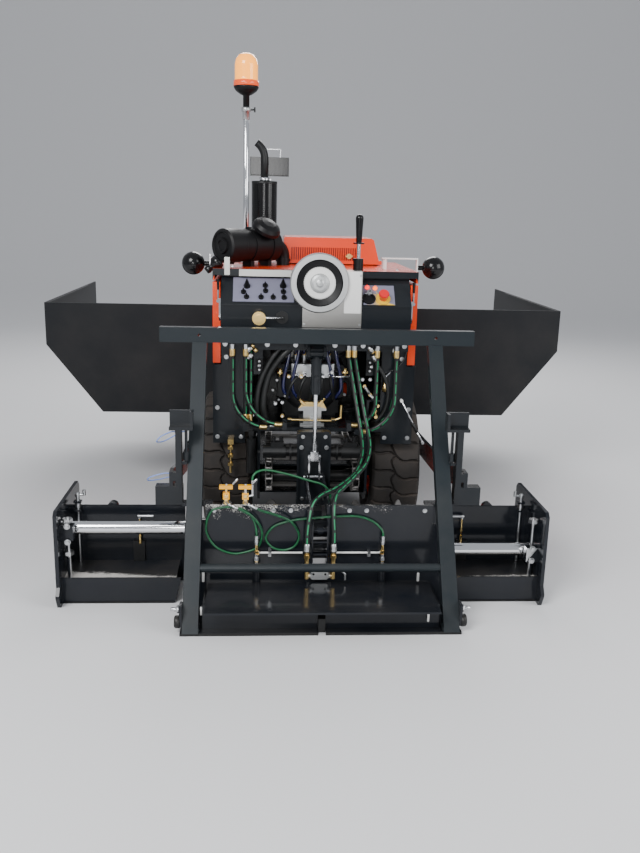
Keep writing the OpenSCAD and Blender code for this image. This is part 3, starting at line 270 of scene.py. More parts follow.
@cache
def chalk_group() -> bpy.types.NodeTree:
    """Builds the shared effect of chalky splashes that thin out away from an edge.

    Returns:
        A group that puts out the splashes' mask.
    """
    tree, given, result = new_group(
        "Chalk splashes",
        [("Vector", "Vector", None), ("Edge", "Vector", (0.0, 0.0, 0.0)), ("Away", "Vector", (0.0, 1.0, 0.0)),
         ("Reach", "Float", 0.05), ("Scatter", "Float", 0.02)],
        [("Mask", "Float")])
    offset = tree.vector_maths("SUBTRACT", given["Vector"], given["Edge"])
    inside = tree.maths("SUBTRACT", given["Reach"], tree.vector_maths("DOT_PRODUCT", offset, given["Away"]))
    broad = tree.maths("MULTIPLY_ADD", tree.noise(given["Vector"], 24.0, 4.0), 2.6, -1.3)
    fine = tree.maths("MULTIPLY_ADD", tree.noise(given["Vector"], 230.0, 2.0), 4.0, -2.0)
    ragged = tree.maths("ADD", tree.maths("DIVIDE", inside, given["Scatter"]), tree.maths("ADD", broad, fine))
    tree.feed(result, {"Mask": tree.ranged(ragged, 0.0, 0.35)})
    return tree.tree


@cache
def fine_relief_group() -> bpy.types.NodeTree:
    """Builds the shared fine relief of sprayed paint, rubber grain, casting skin and brushed metal.

    Returns:
        A group that puts out a height for a Bump node.
    """
    tree, given, result = new_group(
        "Fine relief",
        [("Vector", "Vector", None), ("Scale", "Float", 200.0), ("Stretch", "Vector", (1.0, 1.0, 1.0))],
        [("Height", "Float")])
    along = tree.vector_maths("MULTIPLY", given["Vector"], given["Stretch"])
    tree.feed(result, {"Height": tree.noise(along, given["Scale"], 3.0)})
    return tree.tree


# ---- Finishes ----


# The scale, the stretch and the depth in metres of each surface's relief.
RELIEFS: dict[Surface, tuple[float, Point, float]] = {
    Surface.SPRAYED: (260.0, (1, 1, 1), 0.00004),
    Surface.GRAINED: (420.0, (1, 1, 1), 0.00012),
    Surface.BRUSHED: (160.0, (0.06, 1, 3), 0.00006),
    Surface.CAST: (330.0, (1, 1, 1), 0.0002),
}


@dataclass(frozen=True)
class Finish:
    """One finish of the machine, from which its material is built once.

    Attributes:
        name: The material's name.
        colour: Base colour, linear.
        roughness: Roughness of the clean surface.
        metallic: 1 for bare metal.
        surface: How the surface varies.
        coat: Weight of the clear coat.
        specular: Level of the surface's own highlights.
        dust: How much road dust lies on it.
        dust_colour: Colour of that dust, linear.
        glow: Strength of the light that it gives off.
        transmission: 1 for clear glass.
        chalk: How far chalky splashes reach from their edge, in metres.
        scatter: How far their outline strays.
        edge: A point of that edge.
        away: Direction away from it.
    """

    name: str
    colour: Colour
    roughness: float = 0.4
    metallic: float = 0.0
    surface: Surface = Surface.SMOOTH
    coat: float = 0.0
    specular: float = 0.5
    dust: float = 0.0
    dust_colour: Colour = (0.17, 0.15, 0.13)
    glow: float = 0.0
    transmission: float = 0.0
    chalk: float = 0.0
    scatter: float = 0.012
    edge: Point = (0.0, 0.0, 0.0)
    away: Point = (0.0, 0.0, -1.0)

    def material(self) -> bpy.types.Material:
        """Builds the material at its first use.

        Returns:
            The finish's material.
        """
        found = bpy.data.materials.get(self.name)
        if found:
            return found
        made = bpy.data.materials.new(self.name)
        made.use_nodes = True
        tree = TreeWriter(made.node_tree)
        shader = made.node_tree.nodes["Principled BSDF"]
        tree.feed(shader, {
            "Base Color": (*self.colour, 1), "Roughness": self.roughness, "Metallic": self.metallic,
            "Coat Weight": self.coat, "Coat Roughness": COAT_ROUGHNESS, "Specular IOR Level": self.specular,
            "Transmission Weight": self.transmission})
        if self.glow:
            tree.feed(shader, {"Emission Color": (*self.colour, 1), "Emission Strength": self.glow})
        place = tree.node("ShaderNodeTexCoord").outputs["Object"]
        if self.dust:
            self._lay_dust(tree, shader, place)
        if self.chalk:
            self._splash(tree, shader, place)
        if self.surface is not Surface.SMOOTH:
            self._raise_relief(tree, shader, place)
        return made

    def _lay_dust(self, tree: TreeWriter, shader: bpy.types.Node, place: Socket) -> None:
        """Feeds the shader's colour and roughness from the dust group.

        Args:
            tree: The material's tree.
            shader: Its Principled node.
            place: The object coordinates.
        """
        dust = tree.node("ShaderNodeGroup", {
            "Vector": place, "Paint": (*self.colour, 1), "Dust": (*self.dust_colour, 1), "Amount": self.dust,
            "Clean roughness": self.roughness}, node_tree=road_dust_group())
        tree.feed(shader, {"Base Color": dust.outputs["Color"], "Roughness": dust.outputs["Roughness"]})

    def _splash(self, tree: TreeWriter, shader: bpy.types.Node, place: Socket) -> None:
        """Lays chalky splashes over what feeds the shader's colour and roughness.

        Args:
            tree: The material's tree.
            shader: Its Principled node.
            place: The object coordinates.
        """
        chalk = tree.node("ShaderNodeGroup", {
            "Vector": place, "Edge": self.edge, "Away": self.away, "Reach": self.chalk,
            "Scatter": self.scatter}, node_tree=chalk_group())
        for name, chalky, kind in (("Base Color", CHALK_COLOUR, "RGBA"),
                                   ("Roughness", DUSTY_ROUGHNESS, "FLOAT")):
            below = shader.inputs[name].links[0].from_socket
            tree.feed(shader, {name: tree.mixed(chalk.outputs["Mask"], below, chalky, kind)})

    def _raise_relief(self, tree: TreeWriter, shader: bpy.types.Node, place: Socket) -> None:
        """Feeds the shader's normal from the relief group through a Bump node.

        Args:
            tree: The material's tree.
            shader: Its Principled node.
            place: The object coordinates.
        """
        scale, stretch, depth = RELIEFS[self.surface]
        relief = tree.node("ShaderNodeGroup", {"Vector": place, "Scale": scale, "Stretch": stretch},
                           node_tree=fine_relief_group())
        bump = tree.node("ShaderNodeBump", {"Strength": 0.5, "Distance": depth,
                                            "Height": relief.outputs["Height"]})
        tree.feed(shader, {"Normal": bump.outputs["Normal"]})


BODY_PAINT = Finish("body paint", (0.0090, 0.0115, 0.0145), 0.24, surface=Surface.SPRAYED, coat=0.2,
                    specular=0.2, dust=0.10)
SCREED_PAINT = replace(BODY_PAINT, name="screed paint", colour=(0.0080, 0.0100, 0.0140), roughness=0.17,
                       coat=0.3, dust=0.07)
WALL_PAINT = replace(SCREED_PAINT, name="splashed screed paint", chalk=0.012, scatter=0.05,
                     edge=(-0.42, -1.39, 0.442), away=(0.05, 0, -1))
LEDGE_LEFT = replace(SCREED_PAINT, name="chalky ledge left", roughness=0.3, coat=0.0, dust=0.2, chalk=0.062,
                     scatter=0.026, edge=(-1.02, -1.328, 0.098), away=(0.12, 1, 0))
LEDGE_RIGHT = replace(LEDGE_LEFT, name="chalky ledge right", chalk=0.018, scatter=0.02,
                      edge=(0.92, -1.328, 0.098), away=(-0.06, 1, 0))
FRAME_PAINT = replace(BODY_PAINT, name="frame paint", colour=(0.0145, 0.0200, 0.0240), roughness=0.34,
                      coat=0.06)
HOPPER_PAINT = replace(BODY_PAINT, name="hopper paint", colour=(0.0095, 0.0105, 0.0125), roughness=0.45,
                       coat=0.0, dust=0.2)
ORANGE_PAINT = Finish("orange paint", (0.80, 0.060, 0.012), 0.26, surface=Surface.SPRAYED, coat=0.25,
                      specular=0.3, dust=0.05)
BLACK_PLASTIC = Finish("black plastic", (0.0045, 0.0045, 0.0052), 0.42, surface=Surface.GRAINED,
                       specular=0.25, dust=0.04)
BLACK_GLOSS = Finish("black gloss", (0.004, 0.004, 0.0048), 0.2, coat=0.15, specular=0.3)
BLACK_METAL = Finish("blackened steel", (0.014, 0.015, 0.016), 0.38, 0.5, Surface.CAST, dust=0.14)
TYRE_RUBBER = Finish("tyre rubber", (0.016, 0.014, 0.013), 0.82, surface=Surface.GRAINED, dust=0.9,
                     dust_colour=(0.088, 0.066, 0.052))
HOSE_RUBBER = Finish("hose rubber", (0.008, 0.009, 0.009), 0.42, surface=Surface.GRAINED)
CHROME = Finish("hard chrome", (0.80, 0.81, 0.83), 0.1, 1.0)
ZINC = Finish("zinc plate", (0.60, 0.61, 0.62), 0.28, 1.0, Surface.CAST, dust=0.05)
WORN_STEEL = Finish("worn steel", (0.30, 0.29, 0.28), 0.42, 1.0, Surface.CAST, dust=0.3)
STAINLESS = Finish("stainless sheet", (0.43, 0.42, 0.40), 0.3, 1.0, Surface.BRUSHED)
GOLD_ZINC = Finish("gold passivated zinc", (0.83, 0.60, 0.24), 0.28, 1.0)
BRASS = Finish("brass", (0.86, 0.62, 0.25), 0.22, 1.0)
CAST_ALLOY = Finish("cast alloy", (0.52, 0.53, 0.53), 0.42, 1.0, Surface.CAST)
YELLOW_PLASTIC = Finish("yellow handle plastic", (0.90, 0.42, 0.008), 0.32, coat=0.3)
WHITE_ENAMEL = Finish("white enamel", (0.80, 0.80, 0.78), 0.3, coat=0.3)
PANEL_GREY = Finish("lilac grey plate", (0.19, 0.19, 0.26), 0.4)
RED_PLASTIC = Finish("red button plastic", (0.72, 0.010, 0.012), 0.3, coat=0.4)
YELLOW_PAINT = Finish("yellow ring paint", (0.82, 0.52, 0.02), 0.4)
NAVY_PIPE = Finish("navy pipe paint", (0.012, 0.014, 0.075), 0.22, coat=0.6)
ENGINE_GREY = Finish("engine grey", (0.030, 0.031, 0.033), 0.42, surface=Surface.CAST, dust=0.12)
LAMP_GLASS = Finish("lamp glass", (0.95, 0.96, 0.97), 0.03, transmission=1.0)
BLUE_WIRE = Finish("pale blue wire", (0.20, 0.30, 0.68), 0.35)
GAS_GREEN = Finish("green gas hose", (0.006, 0.105, 0.035), 0.35)
RED_LIGHT = Finish("red light", (1.0, 0.03, 0.02), 0.3, glow=2.2)
AMBER_LIGHT = Finish("amber light", (1.0, 0.16, 0.02), 0.3, glow=2.2)
BEACON_DOME = Finish("amber dome", (1.0, 0.36, 0.03), 0.12, coat=0.5, glow=1.6)
BEACON_SKIRT = Finish("red orange skirt", (0.85, 0.09, 0.01), 0.25, coat=0.4, glow=0.35)
BEACON_CORE = Finish("beacon bulb", (1.0, 0.72, 0.35), 0.3, glow=9.0)
FLOOR_PAPER = Finish("studio floor", (0.74, 0.74, 0.75), 0.85)


# ---- Meshes ----


@dataclass
class MeshMaker:
    """Gathers simple forms into one mesh with a material slot for each finish.

    Attributes:
        name: The piece's name.
    """

    name: str
    _mesh: bmesh.types.BMesh = field(default_factory=bmesh.new, repr=False)
    _finishes: list[Finish] = field(default_factory=list, repr=False)

    def _claim(self, finish: Finish, faces: Iterable[bmesh.types.BMFace], smooth: bool) -> None:
        """Gives faces a finish and their shading.

        Args:
            finish: The finish they take.
            faces: The faces.
            smooth: True for a rounded look.
        """
        if finish not in self._finishes:
            self._finishes.append(finish)
        index = self._finishes.index(finish)
        for face in faces:
            face.material_index = index
            face.smooth = smooth

    def _band(self, low: Sequence[bmesh.types.BMVert],
              high: Sequence[bmesh.types.BMVert]) -> list[bmesh.types.BMFace]:
        """Adds the faces between two rings of as many vertices.

        Args:
            low: The first ring.
            high: The next ring.

        Returns:
            The new faces.
        """
        count = len(low)
        return [self._mesh.faces.new((low[k], low[(k + 1) % count], high[(k + 1) % count], high[k]))
                for k in range(count)]

    def block(self, finish: Finish, low: Sequence[float], high: Sequence[float], bevel: float = 0.0) -> None:
        """Adds a box by its two corners.

        Args:
            finish: Its finish.
            low: Lowest corner, in metres.
            high: Highest corner, in metres.
            bevel: Width of its bevelled edges.
        """
        verts = bmesh.ops.create_cube(self._mesh, size=1.0)["verts"]
        size = [high[i] - low[i] for i in range(3)]
        middle = [(high[i] + low[i]) / 2 for i in range(3)]
        bmesh.ops.transform(self._mesh, matrix=Matrix.Translation(middle) @ Matrix.Diagonal((*size, 1)),
                            verts=verts)
        faces = {f for v in verts for f in v.link_faces}
        if bevel:
            edges = list({e for f in faces for e in f.edges})
            cut = bmesh.ops.bevel(self._mesh, geom=edges, offset=bevel, segments=2, affect="EDGES",
                                  clamp_overlap=True)
            faces = {f for v in cut["verts"] for f in v.link_faces} | {f for f in faces if f.is_valid}
        self._claim(finish, faces, False)

    def turned(self, finish: Finish, at: Sequence[float], aim: Sequence[float],
               profile: Sequence[tuple[float, float]], sides: int = 32, smooth: bool = True) -> None:
        """Adds a solid of revolution.

        Args:
            finish: Its finish.
            at: The profile's origin.
            aim: Direction of the axis.
            profile: Radius and height of each step, from the foot to the top.
            sides: Faces round it.
            smooth: True to shade it as round.
        """
        smallest = 1e-6
        rings = [[self._mesh.verts.new((radius * c, radius * s, height)) for c, s in circle(sides)]
                 if radius > smallest else [self._mesh.verts.new((0, 0, height))]
                 for radius, height in profile]
        faces = []
        for low, high in zip(rings, rings[1:]):
            for k in range(sides):
                n = (k + 1) % sides
                corner = [low[k % len(low)], low[n % len(low)], high[n % len(high)], high[k % len(high)]]
                ring = list(dict.fromkeys(corner))
                if len(ring) >= 3:
                    faces.append(self._mesh.faces.new(ring))
        self._claim(finish, faces, smooth)
        ends = [self._mesh.faces.new(ring) for ring in (rings[0][::-1], rings[-1]) if len(ring) > 1]
        self._claim(finish, ends, False)
        facing = Vector(aim).normalized().to_track_quat("Z", "Y").to_matrix().to_4x4()
        bmesh.ops.transform(self._mesh, matrix=Matrix.Translation(Vector(at)) @ facing,
                            verts=[v for ring in rings for v in ring])

    def rod(self, finish: Finish, start: Sequence[float], end: Sequence[float], diameter: float,
            sides: int = 20) -> None:
        """Adds a round bar from one point to another.

        Args:
            finish: Its finish.
            start: Centre of one end.
            end: Centre of the other.
            diameter: Its diameter.
            sides: Faces round it.
        """
        reach = Vector(end) - Vector(start)
        r = diameter / 2
        c = min(r * 0.18, reach.length * 0.2)
        self.turned(finish, start, reach, [(r - c, 0), (r, c), (r, reach.length - c), (r - c, reach.length)],
                    sides)

    def ball(self, finish: Finish, at: Sequence[float], diameter: float, squash: float) -> None:
        """Adds a ball.

        Args:
            finish: Its finish.
            at: Its centre.
            diameter: Its diameter.
            squash: Its height over its width.
        """
        made = bmesh.ops.create_uvsphere(self._mesh, u_segments=32, v_segments=18, radius=diameter / 2)
        bmesh.ops.transform(self._mesh, verts=made["verts"],
                            matrix=Matrix.Translation(Vector(at)) @ Matrix.Diagonal((1, 1, squash, 1)))
        self._claim(finish, {f for v in made["verts"] for f in v.link_faces}, True)

    def lofted(self, finish: Finish, rings: Iterable[Sequence[Vector]], closed: bool = True) -> None:
        """Adds a smooth skin over a run of rings.

        Args:
            finish: Its finish.
            rings: The rings, each of as many points.
            closed: True to close both ends.
        """
        grid = [[self._mesh.verts.new(p) for p in ring] for ring in rings]
        for low, high in zip(grid, grid[1:]):
            self._claim(finish, self._band(low, high), True)
        if closed:
            self._claim(finish, [self._mesh.faces.new(grid[0][::-1]), self._mesh.faces.new(grid[-1])], False)

    def tube(self, finish: Finish, route: Sequence[Sequence[float]], diameter: float,
             sides: int = 12) -> None:
        """Adds a pipe along a smooth curve, with closed ends.

        Args:
            finish: Its finish.
            route: Points of its centreline.
            diameter: Its diameter.
            sides: Faces round it.
        """
        self.lofted(finish, hoops(smooth_line(route, 8), diameter / 2, sides))

    def plate(self, finish: Finish, outline: Sequence[Sequence[float]], thickness: Sequence[float]) -> None:
        """Adds a flat plate by its outline.

        Args:
            finish: Its finish.
            outline: Its corners, all in one plane.
            thickness: The way from that face to the other one.
        """
        low = [self._mesh.verts.new(Vector(p)) for p in outline]
        high = [self._mesh.verts.new(Vector(p) + Vector(thickness)) for p in outline]
        faces = [self._mesh.faces.new(low[::-1]), self._mesh.faces.new(high), *self._band(low, high)]
        bmesh.ops.recalc_face_normals(self._mesh, faces=faces)
        self._claim(finish, faces, False)

    def finish_piece(self, body: Body, slot: str, *replaced: str) -> None:
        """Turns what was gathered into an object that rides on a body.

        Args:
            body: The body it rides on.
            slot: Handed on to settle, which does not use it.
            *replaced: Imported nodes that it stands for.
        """
        mesh = bpy.data.meshes.new(self.name)
        self._mesh.to_mesh(mesh)
        self._mesh.free()
        for finish in self._finishes:
            mesh.materials.append(finish.material())
        settle(mesh_object(self.name, mesh), body, slot, *replaced)


def mesh_object(name: str, mesh: bpy.types.Mesh) -> bpy.types.Object:
    """Links a mesh to the scene as an object at the origin.

    Args:
        name: The object's name.
        mesh: Its mesh.

    Returns:
        The object.
    """
    made = bpy.data.objects.new(name, mesh)
    bpy.context.scene.collection.objects.link(made)
    return made


def settle(piece: bpy.types.Object, body: Body, slot: str, *replaced: str) -> None:
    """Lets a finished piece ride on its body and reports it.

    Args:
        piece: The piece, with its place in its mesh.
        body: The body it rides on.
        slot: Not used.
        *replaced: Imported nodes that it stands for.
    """
    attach(piece, body.value)
    if replaced:
        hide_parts(*replaced)
    log.info("%s: %d faces on %s", piece.name, len(piece.data.polygons), body.value)


def smooth_line(route: Sequence[Sequence[float]], steps: int) -> list[Vector]:
    """Draws a smooth curve through a route's points.

    Args:
        route: The points.
        steps: Points of the curve between two of them.

    Returns:
        The curve's points.
    """
    points = [Vector(p) for p in route]
    points = [points[0] * 2 - points[1], *points, points[-1] * 2 - points[-2]]
    line = []
    for a, b, c, d in zip(points, points[1:], points[2:], points[3:]):
        for k in range(steps):
            t = k / steps
            line.append(0.5 * (2 * b + (c - a) * t + (2 * a - 5 * b + 4 * c - d) * t ** 2
                               + (3 * b - a - 3 * c + d) * t ** 3))
    return [*line, points[-2]]


def hoops(line: Sequence[Vector], radius: float, sides: int) -> list[list[Vector]]:
    """Draws a round hoop about each point of a line, carried along it without twist.

    Args:
        line: The line's points.
        radius: The hoops' radius.
        sides: Points of each hoop.

    Returns:
        The hoops' points.
    """
    last = len(line) - 1
    tangents = [(line[min(i + 1, last)] - line[max(i - 1, 0)]).normalized() for i in range(last + 1)]
    side = tangents[0].orthogonal().normalized()
    made = []
    for centre, tangent in zip(line, tangents):
        side = (side - tangent * side.dot(tangent)).normalized()
        up = tangent.cross(side)
        made.append([centre + radius * (c * side + s * up) for c, s in circle(sides)])
    return made


# ---- Pieces that a rule repeats ----


def grown_mesh(name: str, tree: bpy.types.NodeTree, seed: bpy.types.Mesh,
               sizes: dict[str, Any]) -> bpy.types.Object:
    """Runs a geometry tree on a seed mesh and keeps what comes out as a plain mesh.

    Args:
        name: The piece's name.
        tree: The geometry tree.
        seed: The mesh that goes in.
        sizes: Values of the tree's named inputs.

    Returns:
        An object with the grown mesh and no modifier.
    """
    made = mesh_object(name, seed)
    modifier = made.modifiers.new("Rule", "NODES")
    modifier.node_group = tree
    for item in tree.interface.items_tree:
        if item.item_type == "SOCKET" and item.in_out == "INPUT" and item.name in sizes:
            modifier[item.identifier] = sizes[item.name]
    grown = made.evaluated_get(bpy.context.evaluated_depsgraph_get())
    plain = bpy.data.meshes.new_from_object(grown)
    made.modifiers.remove(modifier)
    made.data = plain
    plain.name = name
    return made


def dressed(tree: TreeWriter, shape: Socket, given: Any, result: bpy.types.Node) -> bpy.types.NodeTree:
    """Ends a geometry tree: what it repeats becomes real and takes the finish that the tree is given.

    Args:
        tree: The tree's writer.
        shape: The geometry.
        given: The sockets of the tree's inputs.
        result: Its output node.

    Returns:
        The tree.
    """
    real = tree.node("GeometryNodeRealizeInstances", {"Geometry": shape})
    clad = tree.node("GeometryNodeSetMaterial", {"Geometry": real.outputs[0], "Material": given["Finish"]})
    tree.feed(result, {0: clad.outputs[0]})
    return tree.tree


@cache
def fastener_tree() -> bpy.types.NodeTree:
    """Builds the rule that sets a hexagon bolt and its washer on each point.

    Returns:
        The geometry tree.
    """
    tree, given, result = new_group(
        "Bolt on each point",
        [("Points", "Geometry", None), ("Head width", "Float", 0.019), ("Head height", "Float", 0.008),
         ("Washer width", "Float", 0.024), ("Washer height", "Float", 0.002), ("Finish", "Material", None)],
        [("Bolts", "Geometry")], "GeometryNodeTree")

    def disc(part: str, sides: int, taper: float) -> Socket:
        """Writes a disc with the width and the height that the tree is given for a part.

        Args:
            part: The part, as the tree's inputs name it.
            sides: Number of its sides.
            taper: Its top's width as a share of its foot's.

        Returns:
            The disc's mesh.
        """
        half = tree.product(given[f"{part} width"], 0.5)
        return tree.node("GeometryNodeMeshCone", {
            "Vertices": sides, "Radius Top": tree.product(half, taper), "Radius Bottom": half,
            "Depth": given[f"{part} height"]}).outputs["Mesh"]

    lifted = tree.node("GeometryNodeTransform", {
        "Geometry": disc("Head", 6, 0.9), "Translation": tree.vector(z=given["Washer height"])})
    both = tree.node("GeometryNodeJoinGeometry", {0: lifted.outputs[0]})
    tree.feed(both, {0: disc("Washer", 18, 0.94)})
    aim = tree.node("GeometryNodeInputNamedAttribute", {"Name": "aim"}, data_type="FLOAT_VECTOR")
    scale = tree.node("GeometryNodeInputNamedAttribute", {"Name": "scale"}, data_type="FLOAT")
    facing = tree.node("FunctionNodeAlignRotationToVector", {"Vector": aim.outputs[0]}, axis="Z")
    laid = tree.node("GeometryNodeInstanceOnPoints", {
        "Points": given["Points"], "Instance": both.outputs[0], "Rotation": facing.outputs[0],
        "Scale": scale.outputs[0]})
    return dressed(tree, laid.outputs[0], given, result)


@cache
def pierced_shell_tree() -> bpy.types.NodeTree:
    """Builds the rule of a round shell with rows of round holes.

    Returns:
        The geometry tree.
    """
    tree, given, result = new_group(
        "Pierced shell",
        [("Seed", "Geometry", None), ("Radius", "Float", 0.06), ("Height", "Float", 0.36),
         ("Columns", "Int", 72), ("Rows", "Int", 78), ("Centre", "Vector", (0.0, 0.0, 0.0)),
         ("Finish", "Material", None)],
        [("Shell", "Geometry")], "GeometryNodeTree")
    grid = tree.node("GeometryNodeMeshGrid", {
        "Size X": 1.0, "Size Y": 1.0, "Vertices X": tree.maths("ADD", given["Columns"], 1),
        "Vertices Y": tree.maths("ADD", given["Rows"], 1)})
    index = tree.node("GeometryNodeInputIndex").outputs[0]
    row = tree.maths("MODULO", index, given["Rows"])
    column = tree.maths("FLOOR", tree.maths("DIVIDE", index, given["Rows"]))
    odd_row, odd_column = (tree.maths("COMPARE", tree.maths("MODULO", n, 2), 1, 0.1) for n in (row, column))
    holed = tree.node("GeometryNodeDeleteGeometry", {
        "Geometry": grid.outputs[0], "Selection": tree.product(odd_row, odd_column)}, domain="FACE")
    place = tree.split(tree.node("GeometryNodeInputPosition").outputs[0])
    angle = tree.product(place["X"], 2 * math.pi)
    wrapped = tree.vector(tree.product(tree.maths("COSINE", angle), given["Radius"]),
                          tree.product(tree.maths("SINE", angle), given["Radius"]),
                          tree.product(place["Y"], given["Height"]))
    bent = tree.node("GeometryNodeSetPosition", {
        "Geometry": holed.outputs[0], "Position": tree.vector_maths("ADD", wrapped, given["Centre"])})
    welded = tree.node("GeometryNodeMergeByDistance", {"Geometry": bent.outputs[0], "Distance": 0.0003})
    rounded = tree.node("GeometryNodeSubdivisionSurface", {"Mesh": welded.outputs[0], "Level": 1})
    shaded = tree.node("GeometryNodeSetShadeSmooth", {"Geometry": rounded.outputs[0]})
    return dressed(tree, shaded.outputs[0], given, result)


@cache
def chain_tree() -> bpy.types.NodeTree:
    """Builds the rule of a conveyor's chain: rollers and link plates along a closed line.

    Returns:
        The geometry tree.
    """
    tree, given, result = new_group(
        "Conveyor chain",
        [("Line", "Geometry", None), ("Links", "Int", 96), ("Link length", "Float", 0.05),
         ("Link height", "Float", 0.026), ("Link thickness", "Float", 0.004), ("Chain width", "Float", 0.03),
         ("Roller width", "Float", 0.022), ("Finish", "Material", None)],
        [("Chain", "Geometry")], "GeometryNodeTree")
    curve = tree.node("GeometryNodeMeshToCurve", {"Mesh": given["Line"]})
    spaced = tree.node("GeometryNodeResampleCurve", {"Curve": curve.outputs[0], "Count": given["Links"]})
    facing = tree.node("FunctionNodeAxesToRotation", {
        "Primary Axis": tree.node("GeometryNodeInputTangent").outputs[0], "Secondary Axis": (1.0, 0.0, 0.0)},
        primary_axis="Y", secondary_axis="X")
    plate = tree.node("GeometryNodeMeshCube", {
        "Size": tree.vector(given["Link thickness"], given["Link length"], given["Link height"])})
    link = tree.node("GeometryNodeJoinGeometry")
    for half in (-0.5, 0.5):
        moved = tree.node("GeometryNodeTransform", {
            "Geometry": plate.outputs[0],
            "Translation": tree.vector(tree.product(given["Chain width"], half))})
        tree.feed(link, {0: moved.outputs[0]})
    roller = tree.node("GeometryNodeMeshCylinder", {
        "Vertices": 10, "Radius": tree.product(given["Roller width"], 0.5), "Depth": given["Chain width"]})
    lying = tree.node("GeometryNodeTransform", {"Geometry": roller.outputs["Mesh"],
                                                "Rotation": (0.0, math.pi / 2, 0.0)})
    tree.feed(link, {0: lying.outputs[0]})
    laid = tree.node("GeometryNodeInstanceOnPoints", {
        "Points": spaced.outputs[0], "Instance": link.outputs[0], "Rotation": facing.outputs[0]})
    return dressed(tree, laid.outputs[0], given, result)


@dataclass
class BoltSet:
    """The zinc-plated bolts that one body carries.

    Attributes:
        name: The piece's name.
        body: The body they ride on.
        places: For each bolt its place in millimetres, its aim and its size across the flats.
    """

    name: str
    body: Body
    places: list[tuple[Point, Point, float]]

    def build(self) -> None:
        """Sets the bolts on a mesh of loose points that carry their aims and scales."""
        full_size = 19
        seed = bpy.data.meshes.new(self.name)
        seed.from_pydata([mm(*point) for point, _, _ in self.places], [], [])
        aims = seed.attributes.new("aim", "FLOAT_VECTOR", "POINT")
        aims.data.foreach_set("vector", [c for _, aim, _ in self.places for c in aim])
        scales = seed.attributes.new("scale", "FLOAT", "POINT")
        scales.data.foreach_set("value", [size / full_size for _, _, size in self.places])
        settle(grown_mesh(self.name, fastener_tree(), seed, {"Finish": ZINC.material()}), self.body, "steel")


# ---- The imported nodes' finishes ----


LAMP_AXIS = (10, 1291)
SLOPE = math.atan2(115, 108)
SLOPE_FOOT = (-830, 1190)


def in_place(centre: Vector) -> Point:
    """Returns a place in millimetres of the machine's own frame."""
    return centre.x * 1000, centre.y * 1000, centre.z * 1000


def about_lamp(centre: Vector) -> Point:
    """Measures a place from the round lamp's axis.

    Args:
        centre: The place in metres.

    Returns:
        Its distance from the axis and its place along Y, in millimetres, and nothing more.
    """
    x, y, z = in_place(centre)
    return math.hypot(x - LAMP_AXIS[0], z - LAMP_AXIS[1]), y, 0.0


def over_slope(centre: Vector) -> Point:
    """Measures a place along the console's slope.

    Args:
        centre: The place in metres.

    Returns:
        Its places along X, up the slope and out of the slope, in millimetres.
    """
    x, y, z = in_place(centre)
    y, z = y - SLOPE_FOOT[0], z - SLOPE_FOOT[1]
    return x, y * math.cos(SLOPE) + z * math.sin(SLOPE), z * math.cos(SLOPE) - y * math.sin(SLOPE)


@dataclass(frozen=True)
class Patch:
    """A part of a node that takes its own finish.

    Attributes:
        finish: The finish of the faces inside the box.
        low: Lowest corner of the box in millimetres.
        high: Its highest corner.
        space: What turns a face's middle into the box's own coordinates.
    """

    finish: Finish
    low: Point
    high: Point
    space: Callable[[Vector], Point] = in_place

    def holds(self, centre: Vector) -> bool:
        """Tells whether a face with this middle lies in the box."""
        return all(a <= c <= b for a, c, b in zip(self.low, self.space(centre), self.high))


def on_both_sides(finish: Finish, low: Point, high: Point) -> tuple[Patch, Patch]:
    """Returns a patch and its mirror image across the machine's middle."""
    return Patch(finish, low, high), Patch(finish, (-high[0], *low[1:]), (-low[0], *high[1:]))


def paint_node(name: str, finish: Finish, *patches: Patch) -> None:
    """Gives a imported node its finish, and others to the faces inside the patches' boxes.

    Args:
        name: The node.
        finish: Its main finish.
        *patches: Boxes of faces with a finish of their own. A later one wins.
    """
    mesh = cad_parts[name].data
    mesh.materials.clear()
    mesh.materials.append(finish.material())
    slots = [finish]
    index = [0] * len(mesh.polygons)
    for patch in patches:
        if patch.finish not in slots:
            slots.append(patch.finish)
            mesh.materials.append(patch.finish.material())
        for polygon in mesh.polygons:
            if patch.holds(polygon.center):
                index[polygon.index] = slots.index(patch.finish)
    mesh.polygons.foreach_set("material_index", index)
    log.info("%s: painted %s and %d patches", name, finish.name, len(patches))


# ---- The machine's sub-assemblies ----


